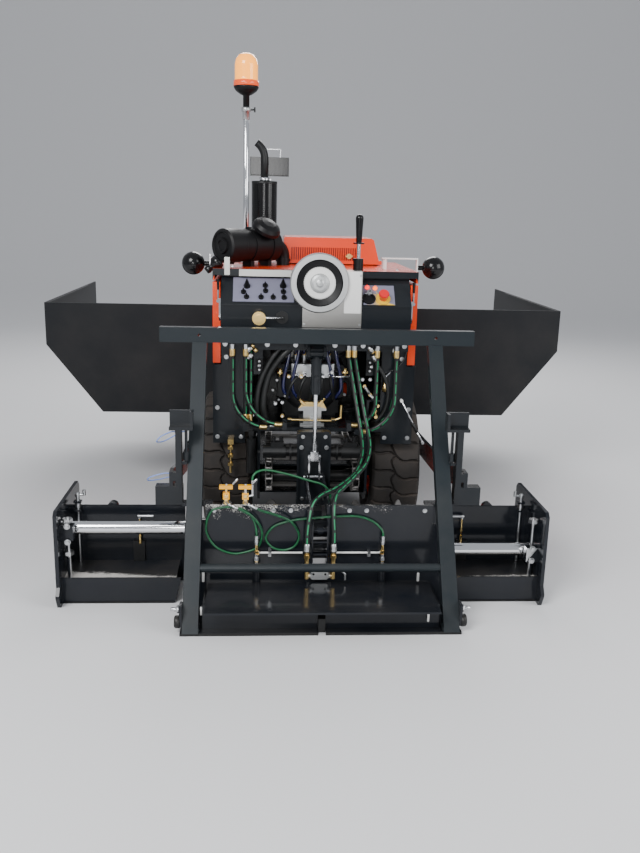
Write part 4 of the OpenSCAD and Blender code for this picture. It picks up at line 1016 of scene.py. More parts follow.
@dataclass
class PhotoCamera:
    """The camera that took the reference view, and the studio round the machine.

    Attributes:
        place: Its place in metres.
        pitch: How far it looks down, in degrees.
        yaw: How far it looks to the right.
        roll: How far it is turned anticlockwise about its own axis.
        lens: Focal length in millimetres, on a 36 mm long side.
    """

    place: Point = (-0.23, -4.71, 1.6)
    pitch: float = 14.0
    yaw: float = 3.8
    roll: float = 1.4
    lens: float = 36.4

    def build(self) -> None:
        """Sets the camera, the lights, the world and the floor."""
        data = bpy.data.cameras.new("reference camera")
        data.lens = self.lens
        data.sensor_width = 36.0
        camera = bpy.data.objects.new("reference camera", data)
        bpy.context.scene.collection.objects.link(camera)
        pitch, yaw = math.radians(self.pitch), math.radians(self.yaw)
        ahead = Vector((math.sin(yaw) * math.cos(pitch), math.cos(yaw) * math.cos(pitch), -math.sin(pitch)))
        right = Vector((math.cos(yaw), -math.sin(yaw), 0))
        up = right.cross(ahead)
        a = math.radians(self.roll)
        right, up = right * math.cos(a) + up * math.sin(a), up * math.cos(a) - right * math.sin(a)
        camera.matrix_world = Matrix((
            (right.x, up.x, -ahead.x, self.place[0]), (right.y, up.y, -ahead.y, self.place[1]),
            (right.z, up.z, -ahead.z, self.place[2]), (0, 0, 0, 1)))
        bpy.context.scene.camera = camera
        self._light("key", (-2.8, -5.2, 4.6), (0, -0.6, 0.7), 340, 2.6)
        self._light("fill", (4.2, -3.6, 2.8), (0, -0.4, 0.6), 150, 3.0)
        self._light("front", (-0.6, -6.4, 1.9), (0, -0.8, 0.7), 60, 1.2)
        self._light("rim", (0.5, 4.6, 4.8), (0, 0, 0.8), 260, 3.4)
        world = bpy.data.worlds.new("studio")
        world.use_nodes = True
        TreeWriter(world.node_tree).feed(world.node_tree.nodes["Background"],
                                         {"Color": (0.82, 0.85, 0.9, 1), "Strength": 0.55})
        bpy.context.scene.world = world
        self._floor()

    def _light(self, name: str, place: Point, target: Point, power: float, size: float) -> None:
        """Adds one soft lamp of the studio.

        Args:
            name: The lamp's name.
            place: Where it stands.
            target: Where it points.
            power: Its power in watts.
            size: Width of its square face.
        """
        data = bpy.data.lights.new(name, "AREA")
        data.energy, data.size = power, size
        lamp = bpy.data.objects.new(name, data)
        lamp.location = place
        lamp.rotation_euler = (Vector(target) - Vector(place)).to_track_quat("-Z", "Y").to_euler()
        bpy.context.scene.collection.objects.link(lamp)

    def _floor(self) -> None:
        """Adds the pale floor that curves up into a backdrop, neither being part of the machine."""
        near, far, bend, top, half_width = -14.0, 7.0, 6.0, 14.0, 26.0
        line = [(near, 0.0), (far, 0.0)]
        line += [(far + bend * math.sin(math.radians(a)), bend - bend * math.cos(math.radians(a)))
                 for a in range(6, 91, 6)]
        line.append((far + bend, top))
        verts = [(x, y, z) for y, z in line for x in (-half_width, half_width)]
        faces = [(2 * i, 2 * i + 1, 2 * i + 3, 2 * i + 2) for i in range(len(line) - 1)]
        mesh = bpy.data.meshes.new("studio floor")
        mesh.from_pydata(verts, [], faces)
        for polygon in mesh.polygons:
            polygon.use_smooth = True
        mesh.materials.append(FLOOR_PAPER.material())
        mesh_object("studio_floor", mesh)


GREEN_STRIPE = (0.010, 0.26, 0.10)
DARK_STRIPE = (0.004, 0.02, 0.01)


@cache
def striped(finish: Finish, stripe: Colour) -> bpy.types.Material:
    """Builds a hose's material with broken stripes along it, read from the sweep's own map.

    Args:
        finish: The hose's finish.
        stripe: Colour of the stripes.

    Returns:
        The material.
    """
    made = finish.material().copy()
    made.name = f"{finish.name} with {'green' if stripe == GREEN_STRIPE else 'dark'} stripe"
    tree = TreeWriter(made.node_tree)
    along = tree.split(tree.node("ShaderNodeUVMap", uv_map="along").outputs[0])
    pitch = 0.055
    first, second = (tree.maths("COMPARE", along["X"], place, half_width)
                     for place, half_width in ((0.32, 0.05), (0.82, 0.04)))
    wave = tree.maths("SINE", tree.product(along["Y"], 2 * math.pi / pitch))
    mask = tree.product(tree.maths("MAXIMUM", first, second), tree.maths("GREATER_THAN", wave, -0.75))
    tree.feed(made.node_tree.nodes["Principled BSDF"],
              {"Base Color": tree.mixed(mask, (*finish.colour, 1), (*stripe, 1))})
    return made


def swept(name: str, line: Sequence[Vector], diameter: float,
          material: bpy.types.Material) -> bpy.types.Object:
    """Sweeps a hose along a line, with a map that has the way round as U and metres along as V.

    Args:
        name: The hose's name.
        line: Points of its centreline, in metres.
        diameter: Its diameter in metres.
        material: Its material.

    Returns:
        The hose.
    """
    sides = 14
    lengths = [0.0]
    for a, b in zip(line, line[1:]):
        lengths.append(lengths[-1] + (b - a).length)
    verts = [point for hoop in hoops(line, diameter / 2, sides) for point in hoop]
    faces, uvs = [], []
    for i in range(len(line) - 1):
        for k in range(sides):
            n = (k + 1) % sides
            faces.append((i * sides + k, i * sides + n, (i + 1) * sides + n, (i + 1) * sides + k))
            uvs += [(k / sides, lengths[i]), ((k + 1) / sides, lengths[i]),
                    ((k + 1) / sides, lengths[i + 1]), (k / sides, lengths[i + 1])]
    faces += [tuple(range(sides))[::-1], tuple(range(len(verts) - sides, len(verts)))]
    uvs += [(0.0, 0.0)] * (2 * sides)
    mesh = bpy.data.meshes.new(name)
    mesh.from_pydata(verts, [], faces)
    layer = mesh.uv_layers.new(name="along")
    for loop, uv in zip(layer.data, uvs):
        loop.uv = uv
    for polygon in mesh.polygons:
        polygon.use_smooth = len(polygon.vertices) == 4
    mesh.materials.append(material)
    return mesh_object(name, mesh)


@dataclass
class FreeHose:
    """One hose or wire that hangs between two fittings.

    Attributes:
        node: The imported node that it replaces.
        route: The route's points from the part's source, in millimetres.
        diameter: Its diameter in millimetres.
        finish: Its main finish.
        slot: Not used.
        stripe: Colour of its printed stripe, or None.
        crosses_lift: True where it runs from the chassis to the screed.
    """

    node: str
    route: list[Point]
    diameter: float
    finish: Finish
    slot: str
    stripe: Colour | None = None
    crosses_lift: bool = False

    def build(self) -> None:
        line = smooth_line([mm(*p) for p in self.route], 6)
        material = striped(self.finish, self.stripe) if self.stripe else self.finish.material()
        hose = swept(self.node + "_looks", line, self.diameter / 1000, material)
        if self.crosses_lift:
            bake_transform(hose)
        else:
            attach(hose, Body.SCREED.value)
        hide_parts(self.node)


FREE_HOSES = [
    FreeHose("hose_screed_right", [
        (180, -802, 986), (180, -802, 976), (190, -806, 910), (208, -822, 815), (228, -862, 705),
        (243, -915, 625), (244, -985, 566), (215, -1085, 524), (155, -1190, 496), (98, -1295, 480),
        (68, -1365, 478), (54, -1415, 455), (51, -1442, 405), (54, -1450, 340), (54, -1450, 262)],
        20, HOSE_RUBBER, "rubber", GREEN_STRIPE, True),
    FreeHose("hose_screed_left", [
        (152, -802, 986), (152, -802, 976), (162, -806, 910), (180, -822, 810), (198, -862, 704),
        (212, -915, 614), (209, -1000, 544), (175, -1100, 499), (125, -1185, 480), (60, -1280, 470),
        (0, -1365, 470), (-34, -1415, 450), (-47, -1442, 402), (-54, -1450, 340), (-54, -1450, 262)],
        20, HOSE_RUBBER, "rubber", GREEN_STRIPE, True),
    FreeHose("gas_hose_left", [
        (-333, -1424, 436), (-316, -1428, 429), (-278, -1425, 406), (-243, -1419, 358), (-236, -1412, 310),
        (-256, -1405, 262), (-307, -1402, 240), (-362, -1401, 236), (-424, -1401, 264), (-460, -1401, 322),
        (-460, -1401, 374), (-438, -1401, 420), (-396, -1401, 434), (-346, -1401, 434), (-300, -1403, 418),
        (-268, -1410, 380), (-258, -1418, 336), (-258, -1418, 318)], 9, GAS_GREEN, "green", DARK_STRIPE),
    FreeHose("gas_hose_right", [
        (-256, -1424, 436), (-239, -1428, 429), (-180, -1425, 410), (-118, -1419, 378), (-85, -1408, 318),
        (-102, -1402, 268), (-146, -1401, 250), (-194, -1401, 262), (-221, -1401, 304), (-186, -1401, 354),
        (-110, -1401, 379), (-32, -1402, 389), (60, -1402, 396), (150, -1402, 397), (212, -1403, 378),
        (248, -1411, 350), (258, -1418, 332), (258, -1418, 318)], 9, GAS_GREEN, "green", DARK_STRIPE),
    FreeHose("gas_feed_hose", [
        (-276, -1386, 544), (-276, -1386, 552), (-272, -1384, 564), (-254, -1376, 578), (-215, -1357, 578),
        (-125, -1312, 545), (-45, -1284, 512), (12, -1262, 488), (42, -1252, 460), (50.5, -1250, 440),
        (50.5, -1250, 424)], 9, GAS_GREEN, "green", DARK_STRIPE),
    FreeHose("wire_upper", [
        (-588, -1305, 722), (-606, -1305, 722), (-650, -1292, 698), (-668, -1276, 672), (-640, -1245, 668),
        (-580, -1210, 694), (-562, -1205, 698), (-550, -1205, 698)], 5, BLUE_WIRE, "blue"),
    FreeHose("wire_lower", [
        (-615, -1300, 545), (-640, -1300, 545), (-696, -1292, 526), (-708, -1272, 506), (-668, -1254, 504),
        (-632, -1250, 512), (-615, -1250, 512)], 5, BLUE_WIRE, "blue"),
]


# ---- Looks of each part of the machine ----


@dataclass
class Paintwork:
    """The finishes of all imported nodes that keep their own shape."""

    plain: dict[Finish, tuple[str, ...]] = field(default_factory=lambda: {
        BODY_PAINT: ("chassis_frame", "body_panels", "auger_case", "console", "lift_barrel", "tow_arms"),
        HOPPER_PAINT: ("hopper_trough", "front_beam", "wing_left", "wing_right"),
        BLACK_METAL: ("front_axle", "wing_barrel_left", "wing_barrel_right", "knuckle_left", "knuckle_right",
                      "drive_motors"),
        CHROME: ("lift_rod", "wing_rod_left", "wing_rod_right", "guide_tube_left", "guide_tube_right"),
        ORANGE_PAINT: ("door_left", "door_right", "rear_rim_left", "rear_rim_right"),
        WORN_STEEL: ("push_roller_left", "push_roller_right", "auger_left", "auger_right"),
        FRAME_PAINT: ("operator_frame",),
        SCREED_PAINT: ("step_plate",),
        BLACK_PLASTIC: ("air_cleaner",)})

    def build(self) -> None:
        """Paints the nodes of one finish, and then those that take several."""
        for finish, nodes in self.plain.items():
            for node in nodes:
                paint_node(node, finish)
        for side in ("left", "right"):
            paint_node(f"front_wheel_{side}", TYRE_RUBBER,
                       Patch(ORANGE_PAINT, (-700, 845, 120), (700, 1055, 330)))
        paint_node("deck", ORANGE_PAINT, Patch(BODY_PAINT, (-480, -743, 1308), (480, -739.9, 1334)))
        paint_node("hood", ORANGE_PAINT, Patch(GOLD_ZINC, (168, -320, 1370), (208, -300.5, 1400)))
        paint_node("main_screed", SCREED_PAINT, Patch(WALL_PAINT, (-470, -1393, 12), (470, -1379, 440.5)),
                   Patch(BLACK_METAL, (-560, -1661, 0), (560, -1659.5, 12)))
        self._extension("left", -1, 1068)
        self._extension("right", 1, 948)
        self._hydraulics()
        self._controls()
        self._lamps()
        self._fittings()

    def _extension(self, side: str, sign: int, reach: float) -> None:
        """Paints one screed extension with its zinc screws, brass burner and chalky ledge.

        Args:
            side: The node's side.
            sign: -1 on the left, 1 on the right.
            reach: How far the outer face stands from the middle.
        """
        def patch(finish: Finish, far: float, near: float, low: tuple[float, float],
                  high: tuple[float, float]) -> Patch:
            """Returns a patch between two distances inwards from the outer face."""
            ends = sorted((sign * (reach - far), sign * (reach - near)))
            return Patch(finish, (ends[0], *low), (ends[1], *high))

        paint_node(
            f"extension_{side}", SCREED_PAINT,
            patch(LEDGE_LEFT if sign < 0 else LEDGE_RIGHT, 480, 16, (-1359, 97.5), (-1140, 98.5)),
            patch(ZINC, 62, 15.5, (-1346, 336), (-1297, 366)),
            patch(ZINC, 62, 15.5, (-1346, 194), (-1297, 217)),
            patch(ZINC, 45, 31, (-1328, 100), (-1312, 366)),
            patch(ZINC, 60, 32, (-1168, 345.5), (-1137, 366.5)),
            patch(ZINC, 53, 39, (-1160, 99), (-1144, 412)), patch(ZINC, 84, 35, (-1166, 395), (-1138, 428)),
            patch(BRASS, 315, 299, (-1171, 186), (-1153, 300)),
            patch(ZINC, 370, 296, (-1170, 298), (-1154, 318)),
            patch(BLACK_METAL, 326, 275, (-1157, 97), (-1139.5, 194)))

    def _hydraulics(self) -> None:
        """Paints the pump, valve bank, pipes and grease block."""
        paint_node(
            "hydraulics", ZINC,
            Patch(CAST_ALLOY, (-75, -725, 596), (75, -500, 725)),
            Patch(GOLD_ZINC, (-75, -760, 700), (75, -690, 760)),
            Patch(GOLD_ZINC, (-125, -760, 620), (150, -726, 715)),
            Patch(ZINC, (-16, -745, 622), (16, -726, 655)),
            Patch(BLACK_METAL, (-155, -705, 830), (155, -495, 905)),
            Patch(ZINC, (-135, -745, 838), (140, -699, 900)),
            Patch(BODY_PAINT, (-395, -820, 1006), (390, -785, 1016)),
            Patch(BODY_PAINT, (-335, -815, 586), (216, -748, 643)),
            Patch(GOLD_ZINC, (-405, -805, 385), (-370, -758, 560)),
            Patch(BLACK_METAL, (-318, -820, 390), (-270, -758, 602)))

    def _controls(self) -> None:
        """Paints the console's blank plates, switches, lamps, dial, button and levers."""
        paint_node(
            "controls", CHROME,
            Patch(PANEL_GREY, (-380, 0, -1), (360, 160, 2.6), over_slope),
            Patch(BLACK_PLASTIC, (-380, 0, 2.7), (-98, 160, 70), over_slope),
            Patch(BLACK_PLASTIC, (204, 8, 2.7), (268, 62, 12), over_slope),
            Patch(ZINC, (228, 62.5, 2.7), (256, 90, 32), over_slope),
            Patch(RED_LIGHT, (220, 92, 2.7), (244, 116, 22), over_slope),
            Patch(AMBER_LIGHT, (256, 88, 2.7), (280, 112, 22), over_slope),
            Patch(YELLOW_PAINT, (268.5, 6, 1.5), (336, 76, 7), over_slope),
            Patch(RED_PLASTIC, (275, 12, 7.1), (330, 72, 50), over_slope),
            Patch(BLACK_METAL, (-187, -870, 1100), (-122, -829, 1165)),
            Patch(GOLD_ZINC, (-292, -895, 1100), (-225, -845, 1168)),
            Patch(STAINLESS, (-352, -747, 1307), (-68, -741, 1339)),
            Patch(STAINLESS, (-418, -749, 1311), (-390, -741, 1392)),
            Patch(BLACK_PLASTIC, (165, -730, 1339), (225, -670, 1400)),
            Patch(BLACK_GLOSS, (160, -732, 1458), (228, -668, 1600)),
            *on_both_sides(BLACK_PLASTIC, (428, -808, 1251), (460, -778, 1300)))

    def _lamps(self) -> None:
        """Paints the stainless plate, the round lamp's rings, the floodlight and the ball lamps; the lamp's
        white reflector is a painted reflection.
        """
        paint_node(
            "work_lamps", STAINLESS,
            Patch(CAST_ALLOY, (0, -880, 0), (134, -838.6, 0), about_lamp),
            Patch(BLACK_GLOSS, (0, -880, 0), (103, -838.6, 0), about_lamp),
            # White enamel on the reflector is a painted reflection: it stands for the bright light that the
            # metal reflector throws back.
            Patch(WHITE_ENAMEL, (0, -880, 0), (71, -838.6, 0), about_lamp),
            Patch(CAST_ALLOY, (0, -880, 0), (41, -838.6, 0), about_lamp),
            Patch(BLACK_GLOSS, (-320, -185, 1760), (-110, -100, 1870)),
            *on_both_sides(BLACK_GLOSS, (494.5, -620, 1290), (630, -500, 1410)),
            Patch(WHITE_ENAMEL, (320, -575, 1310), (494.4, -543, 1396)),
            Patch(ZINC, (-494.4, -575, 1310), (-465, -540, 1400)))

    def _fittings(self) -> None:
        """Paints the gas valves, burner couplings, pipes and the vibration motor."""
        paint_node(
            "screed_fittings", ZINC,
            Patch(BRASS, (-395, -1399, 444), (-290, -1377, 466.5)),
            Patch(YELLOW_PLASTIC, (-396, -1402, 466.6), (-289, -1374, 494.5)),
            Patch(BRASS, (-390, -1396, 494.6), (-295, -1380, 508.5)),
            Patch(YELLOW_PLASTIC, (-412, -1400, 508.6), (-276.5, -1376, 526)),
            Patch(ZINC, (-318, -1398, 462), (-266, -1379, 545)),
            Patch(YELLOW_PLASTIC, (-334, -1402, 508.6), (-291, -1378.5, 524.5)),
            *on_both_sides(BRASS, (246, -1432, 236), (270, -1405, 282)),
            Patch(CAST_ALLOY, (-52, -1440, 130), (52, -1404, 182)),
            *on_both_sides(GOLD_ZINC, (42, -1464, 146), (68, -1436, 262)),
            *on_both_sides(WHITE_ENAMEL, (66, -1412, 234), (252, -1398, 247)))


@dataclass
class EngineBay:
    """The diesel engine seen past the pump and the valve bank, with its pipes and the bay's hoses."""

    def build(self) -> None:
        """Builds the engine, its pipework, the fittings and the held hoses."""
        self._engine()
        self._pipes()
        self._fittings()
        self._hoses()

    def _engine(self) -> None:
        """Builds the engine in the place of its plain block."""
        low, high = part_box("engine")
        made = MeshMaker("diesel_engine")
        cx = (low.x + high.x) / 2
        made.block(ENGINE_GREY, (low.x + 0.035, low.y + 0.03, low.z + 0.09),
                   (high.x - 0.035, high.y - 0.03, 0.86), 0.008)
        made.block(BLACK_METAL, (low.x + 0.06, low.y + 0.02, low.z),
                   (high.x - 0.06, high.y - 0.05, low.z + 0.092), 0.012)
        made.turned(ENGINE_GREY, (cx, low.y + 0.031, 0.77), (0, -1, 0),
                    [(0.15, 0), (0.15, 0.012), (0.12, 0.026), (0, 0.03)], 40)
        made.block(ENGINE_GREY, (low.x + 0.05, low.y + 0.035, 0.858), (high.x - 0.06, high.y - 0.035, 0.95),
                   0.006)
        made.block(BLACK_GLOSS, (low.x + 0.075, low.y + 0.05, 0.948), (high.x - 0.09, high.y - 0.06, 1.03),
                   0.014)
        made.turned(BLACK_PLASTIC, (cx - 0.02, -0.33, 1.028), (0, 0, 1),
                    [(0.028, 0), (0.028, 0.02), (0.022, 0.03), (0, 0.032)], 24)
        for x in (-0.098, 0.055):
            made.block(STAINLESS, (x - 0.028, low.y + 0.002, 0.9), (x + 0.028, low.y + 0.034, 0.985), 0.004)
        for k in range(3):
            y = low.y + 0.09 + k * 0.11
            made.tube(ENGINE_GREY, [(high.x - 0.07, y, 0.91), (high.x - 0.03, y, 0.93),
                                    (high.x - 0.02, y + 0.02, 0.98)], 0.034, 12)
            made.tube(BLACK_METAL, [(low.x + 0.06, y, 0.9), (low.x + 0.02, y, 0.91),
                                    (low.x + 0.018, y, 0.86)], 0.036, 12)
            made.rod(ZINC, (low.x + 0.11, y, 1.02), (low.x + 0.11, y, 1.045), 0.016, 6)
        for x, z in ((-0.17, 0.78), (-0.13, 0.70), (-0.16, 0.68), (0.15, 0.79), (0.17, 0.71), (0.12, 0.69),
                     (-0.19, 0.73)):
            made.rod(ZINC, (x, low.y + 0.032, z), (x, low.y + 0.012, z), 0.016, 6)
        made.tube(ENGINE_GREY, [(high.x - 0.02, low.y + 0.06, 0.99), (high.x - 0.02, high.y - 0.1, 0.99)],
                  0.036, 14)
        made.turned(CAST_ALLOY, (low.x + 0.06, high.y - 0.09, 0.75), (-1, 0.2, 0),
                    [(0.045, -0.03), (0.048, 0), (0.03, 0.02), (0, 0.022)], 24)
        made.turned(BLACK_METAL, (cx, high.y - 0.028, 0.74), (0, 1, 0),
                    [(0.07, 0), (0.075, 0.005), (0.06, 0.012), (0.075, 0.02), (0, 0.022)], 32)
        made.turned(ORANGE_PAINT, (high.x - 0.04, -0.3, 0.7), (1, 0, 0),
                    [(0.036, -0.05), (0.037, 0.03), (0.03, 0.036), (0, 0.037)], 24)
        made.finish_piece(Body.CHASSIS, "black", "engine")

    def _pipes(self) -> None:
        """Builds the navy tubes, the thick ducts and the valve bank's short hoses."""
        made = MeshMaker("bay_pipework")
        for x in (-92, -52, -12, 28, 68):
            made.tube(HOSE_RUBBER, [mm(x + 8, -734, 852), mm(x + 8, -760, 846), mm(x * 1.2, -768, 806),
                                    mm(x * 1.4, -745, 740)], 0.015, 12)
            made.turned(CHROME, mm(x + 8, -728, 852), (0, -1, 0),
                        [(0.011, 0), (0.011, 0.012), (0.009, 0.014), (0.009, 0.026)], 16)
            made.tube(NAVY_PIPE, [mm(x + 8, -640, 932), mm(x + 6, -648, 962), mm(x, -640, 1000),
                                  mm(x, -600, 1024)], 0.013, 10)
            made.rod(GOLD_ZINC, mm(x + 8, -640, 930), mm(x + 8, -640, 948), 0.019, 6)
        for side, x in ((-1, -66), (1, 50), (-1, -108), (1, 92)):
            made.tube(NAVY_PIPE, [mm(x, -735, 1000), mm(x + side * 14, -745, 930),
                                  mm(x + side * 30, -752, 860), mm(x + side * 34, -748, 790),
                                  mm(x + side * 8, -735, 745)], 0.016, 12)
        for route in ([(-91, -765, 1000), (-152, -778, 947), (-204, -778, 874), (-228, -778, 793),
                       (-236, -776, 711), (-226, -765, 648)],
                      [(-150, -755, 1000), (-213, -765, 910), (-252, -770, 820), (-266, -768, 729),
                       (-262, -757, 650)]):
            made.tube(HOSE_RUBBER, [mm(*p) for p in route], 0.03, 14)
        made.tube(HOSE_RUBBER, [mm(290, -798, 917), mm(328, -798, 850), mm(345, -790, 770),
                                mm(330, -780, 690), mm(292, -770, 640)], 0.018, 12)
        made.tube(BLACK_GLOSS, [mm(427, -778, 1000), mm(416, -782, 947), mm(382, -784, 902),
                                mm(347, -781, 883)], 0.006, 8)
        made.tube(GAS_GREEN, [mm(366, -790, 960), mm(371, -792, 880), mm(374, -792, 815), mm(353, -790, 690),
                              mm(318, -785, 650)], 0.006, 8)
        made.finish_piece(Body.CHASSIS, "steel")

    def _fittings(self) -> None:
        """Builds the tees, elbows, nuts and ball studs between the hoses and the plates."""
        made = MeshMaker("bay_fittings")
        for x, z in ((-159, 866), (145, 870)):
            made.rod(BRASS, mm(x, -740, z - 20), mm(x, -740, z + 20), 0.017, 14)
            made.rod(BRASS, mm(x - 14, -740, z), mm(x + 14, -740, z), 0.019, 6)
            made.rod(CHROME, mm(x, -700, z), mm(x, -741, z), 0.013, 12)
        for start, end in (((-314, 972), (-281, 1003)), ((-309, 938), (-266, 984)), ((246, 1001), (266, 972)),
                           ((266, 962), (290, 917))):
            a, b = Vector(mm(start[0], -800, start[1])), Vector(mm(end[0], -800, end[1]))
            made.turned(ZINC, a, b - a, [(0.0085, 0), (0.0115, 0.001), (0.0115, 0.03), (0.0085, 0.031)], 18)
            made.rod(GOLD_ZINC, a.lerp(b, 0.75), b, 0.022, 6)
        chain = [(235, 812), (262, 772), (290, 738), (301, 718), (289, 697), (294, 665)]
        for k, (x, z) in enumerate(chain):
            if k + 1 < len(chain):
                made.rod(ZINC if k < 2 else BRASS, mm(x, -772, z), mm(chain[k + 1][0], -772, chain[k + 1][1]),
                         0.016 if k < 2 else 0.011, 14)
            made.rod(BRASS, mm(x, -778, z), mm(x, -764, z), 0.02, 6)
        for x, z in ((-119, 852), (-61, 852), (42, 854), (82, 874), (226, 842), (262, 842), (-297, 773),
                     (-292, 717), (-180, 723), (-148, 728), (-147, 663)):
            made.rod(GOLD_ZINC if x % 2 else ZINC, mm(x, -742, z), mm(x, -766, z), 0.02, 6)
            made.rod(CHROME, mm(x, -764, z), mm(x, -772, z), 0.011, 12)
        made.rod(CHROME, mm(86, -760, 853), mm(171, -760, 855), 0.011, 12)
        made.rod(ZINC, mm(-242, -784, 620), mm(-160, -784, 620), 0.017, 14)
        made.turned(BRASS, mm(330, -786, 790), (0, 0, 1),
                    [(0.013, 0), (0.013, 0.03), (0.01, 0.034), (0.01, 0.06)], 18)
        made.tube(CHROME, [mm(330, -786, 845), mm(332, -782, 862), mm(346, -768, 872), mm(352, -761, 874)],
                  0.012, 12)
        made.turned(WHITE_ENAMEL, mm(366, -790, 996), (0, 0, -1), [(0.008, 0), (0.008, 0.02), (0.006, 0.021)],
                    14)
        made.rod(GOLD_ZINC, mm(366, -790, 976), mm(366, -790, 956), 0.013, 6)
        made.rod(CHROME, mm(412, -774, 745), mm(470, -774, 636), 0.009, 12)
        made.rod(BLACK_METAL, mm(470, -774, 636), mm(494, -774, 592), 0.016, 14)
        made.rod(CHROME, mm(494, -774, 592), mm(523, -774, 540), 0.009, 12)
        made.rod(WHITE_ENAMEL, mm(412, -760, 745), mm(412, -784, 745), 0.016, 12)
        made.rod(ZINC, mm(523, -760, 540), mm(523, -782, 540), 0.016, 6)
        for x in (-256, 256):
            made.block(BLACK_PLASTIC, mm(x - 15, -781, 878), mm(x + 15, -770, 934), 0.003)
            made.rod(CHROME, mm(x, -781, 902), mm(x, -802, 908), 0.009, 12)
            made.turned(ZINC, mm(x, -800, 907), (0, -1, 0.2),
                        [(0.006, 0), (0.009, 0.02), (0.008, 0.034), (0, 0.036)], 16)
            for z in (925, 886):
                made.rod(ZINC, mm(x, -781, z), mm(x, -786, z), 0.012, 6)
        made.finish_piece(Body.CHASSIS, "yellow")

    def _hoses(self) -> None:
        """Builds the bay's six held hoses with their crimped sleeves."""
        material = striped(HOSE_RUBBER, GREEN_STRIPE)
        sleeves = MeshMaker("hose_sleeves")
        for number, (z, x, r, side) in enumerate(((778, -378, 160, -1), (800, -318, 170, -1),
                                                  (760, 374, 160, 1), (740, 286, 110, 1))):
            line = [Vector(mm(x, -802, 986 - (986 - z) * k / 12)) for k in range(12)]
            line += [Vector(mm(x - side * r + side * r * math.cos(a), -802, z - r * math.sin(a)))
                     for a in (math.pi / 2 * k / 16 for k in range(17))]
            hose = swept(f"bay_hose_{number + 1}", line, 0.021, material)
            settle(hose, Body.CHASSIS, "rubber", *(["bay_hoses"] if number == 0 else []))
            self._sleeve(sleeves, line[0], line[1] - line[0])
            self._sleeve(sleeves, line[-1], line[-2] - line[-1])
        for number, x in enumerate((-296, -318)):
            line = [Vector(mm(x, -775, 980 - 34 * k)) for k in range(11)]
            settle(swept(f"bay_upright_hose_{number + 1}", line, 0.021, material), Body.CHASSIS, "rubber")
            self._sleeve(sleeves, line[-1], line[-2] - line[-1])
        for x in (152, 180):
            self._sleeve(sleeves, Vector(mm(x, -802, 986)), Vector((0, 0, -1)))
        sleeves.finish_piece(Body.CHASSIS, "yellow")

    def _sleeve(self, made: MeshMaker, at: Vector, aim: Vector) -> None:
        """Adds a crimped sleeve at a hose's end.

        Args:
            made: The mesh that gathers the sleeves.
            at: The hose's end.
            aim: The way into the hose.
        """
        made.turned(GOLD_ZINC, at, aim, [
            (0.0075, 0), (0.0135, 0.0005), (0.0135, 0.006), (0.0126, 0.009), (0.0134, 0.012), (0.0126, 0.016),
            (0.0134, 0.02), (0.0126, 0.024), (0.0134, 0.028), (0.0126, 0.032), (0.0112, 0.036)], 24)


@dataclass
class ExhaustLine:
    """The silencer in its pierced shield, with the hollow tail pipe and the floodlight's strap.

    Attributes:
        at: Place of its axis along X and Y.
        deck: Height of the hood's top.
    """

    at: tuple[float, float] = (-0.240, -0.200)
    deck: float = 1.340

    def build(self) -> None:
        """Builds the pierced shield and the rest of the exhaust."""
        x, y = self.at
        shell = grown_mesh("pierced_heat_shield", pierced_shell_tree(), bpy.data.meshes.new("seed"),
                           {"Radius": 0.064, "Height": 0.366, "Centre": (x, y, self.deck + 0.208),
                            "Finish": BLACK_GLOSS.material()})
        settle(shell, Body.CHASSIS, "black")
        made = MeshMaker("exhaust")
        made.turned(BLACK_METAL, (x, y, self.deck + 0.02), (0, 0, 1),
                    [(0.03, -0.02), (0.03, 0.0), (0.052, 0.004), (0.056, 0.02), (0.056, 0.36), (0.05, 0.378),
                     (0.02, 0.382)], 40)
        for z in (0.018, 0.384):
            made.turned(BLACK_METAL, (x, y, self.deck + z), (0, 0, 1), [
                (0.056, 0), (0.0635, 0.0005), (0.0645, 0.008), (0.0635, 0.016), (0.056, 0.0165)], 48)
        self._tail_pipe(made)
        made.turned(CHROME, (x, y, self.deck + 0.398), (0, 0, 1),
                    [(0.02, 0), (0.0245, 0.001), (0.0245, 0.02), (0.02, 0.021)], 32)
        made.rod(ZINC, (x + 0.03, y - 0.012, self.deck + 0.409), (x + 0.03, y + 0.02, self.deck + 0.409),
                 0.008, 6)
        made.plate(ZINC, [(x + 0.012, y - 0.008, 1.893), (-0.16, y - 0.008, 1.893), (-0.16, y + 0.008, 1.893),
                          (x + 0.012, y + 0.008, 1.893)], (0, 0, 0.003))
        made.plate(ZINC, [(-0.163, y - 0.008, 1.896), (-0.163, y - 0.008, 1.856), (-0.163, -0.13, 1.856),
                          (-0.163, -0.13, 1.896)], (0.003, 0, 0))
        made.finish_piece(Body.CHASSIS, "black", "exhaust")

    def _tail_pipe(self, made: MeshMaker) -> None:
        """Adds the hollow pipe that bends over at its top.

        Args:
            made: The mesh that gathers the exhaust.
        """
        (x, y), top, radius, depth = self.at, 1.85, 0.09, 3
        bend = [Vector((x, y, self.deck + 0.39)), Vector((x, y, 1.7)), Vector((x, y, top))]
        bend += [Vector((x + radius * (math.cos(math.radians(a)) - 1), y,
                         top + radius * math.sin(math.radians(a)))) for a in range(8, 57, 8)]
        outer, inner = (hoops(bend, r, 24) for r in (0.019, 0.0165))
        made.lofted(BLACK_METAL, [*outer, *inner[:depth - 1:-1]], closed=False)


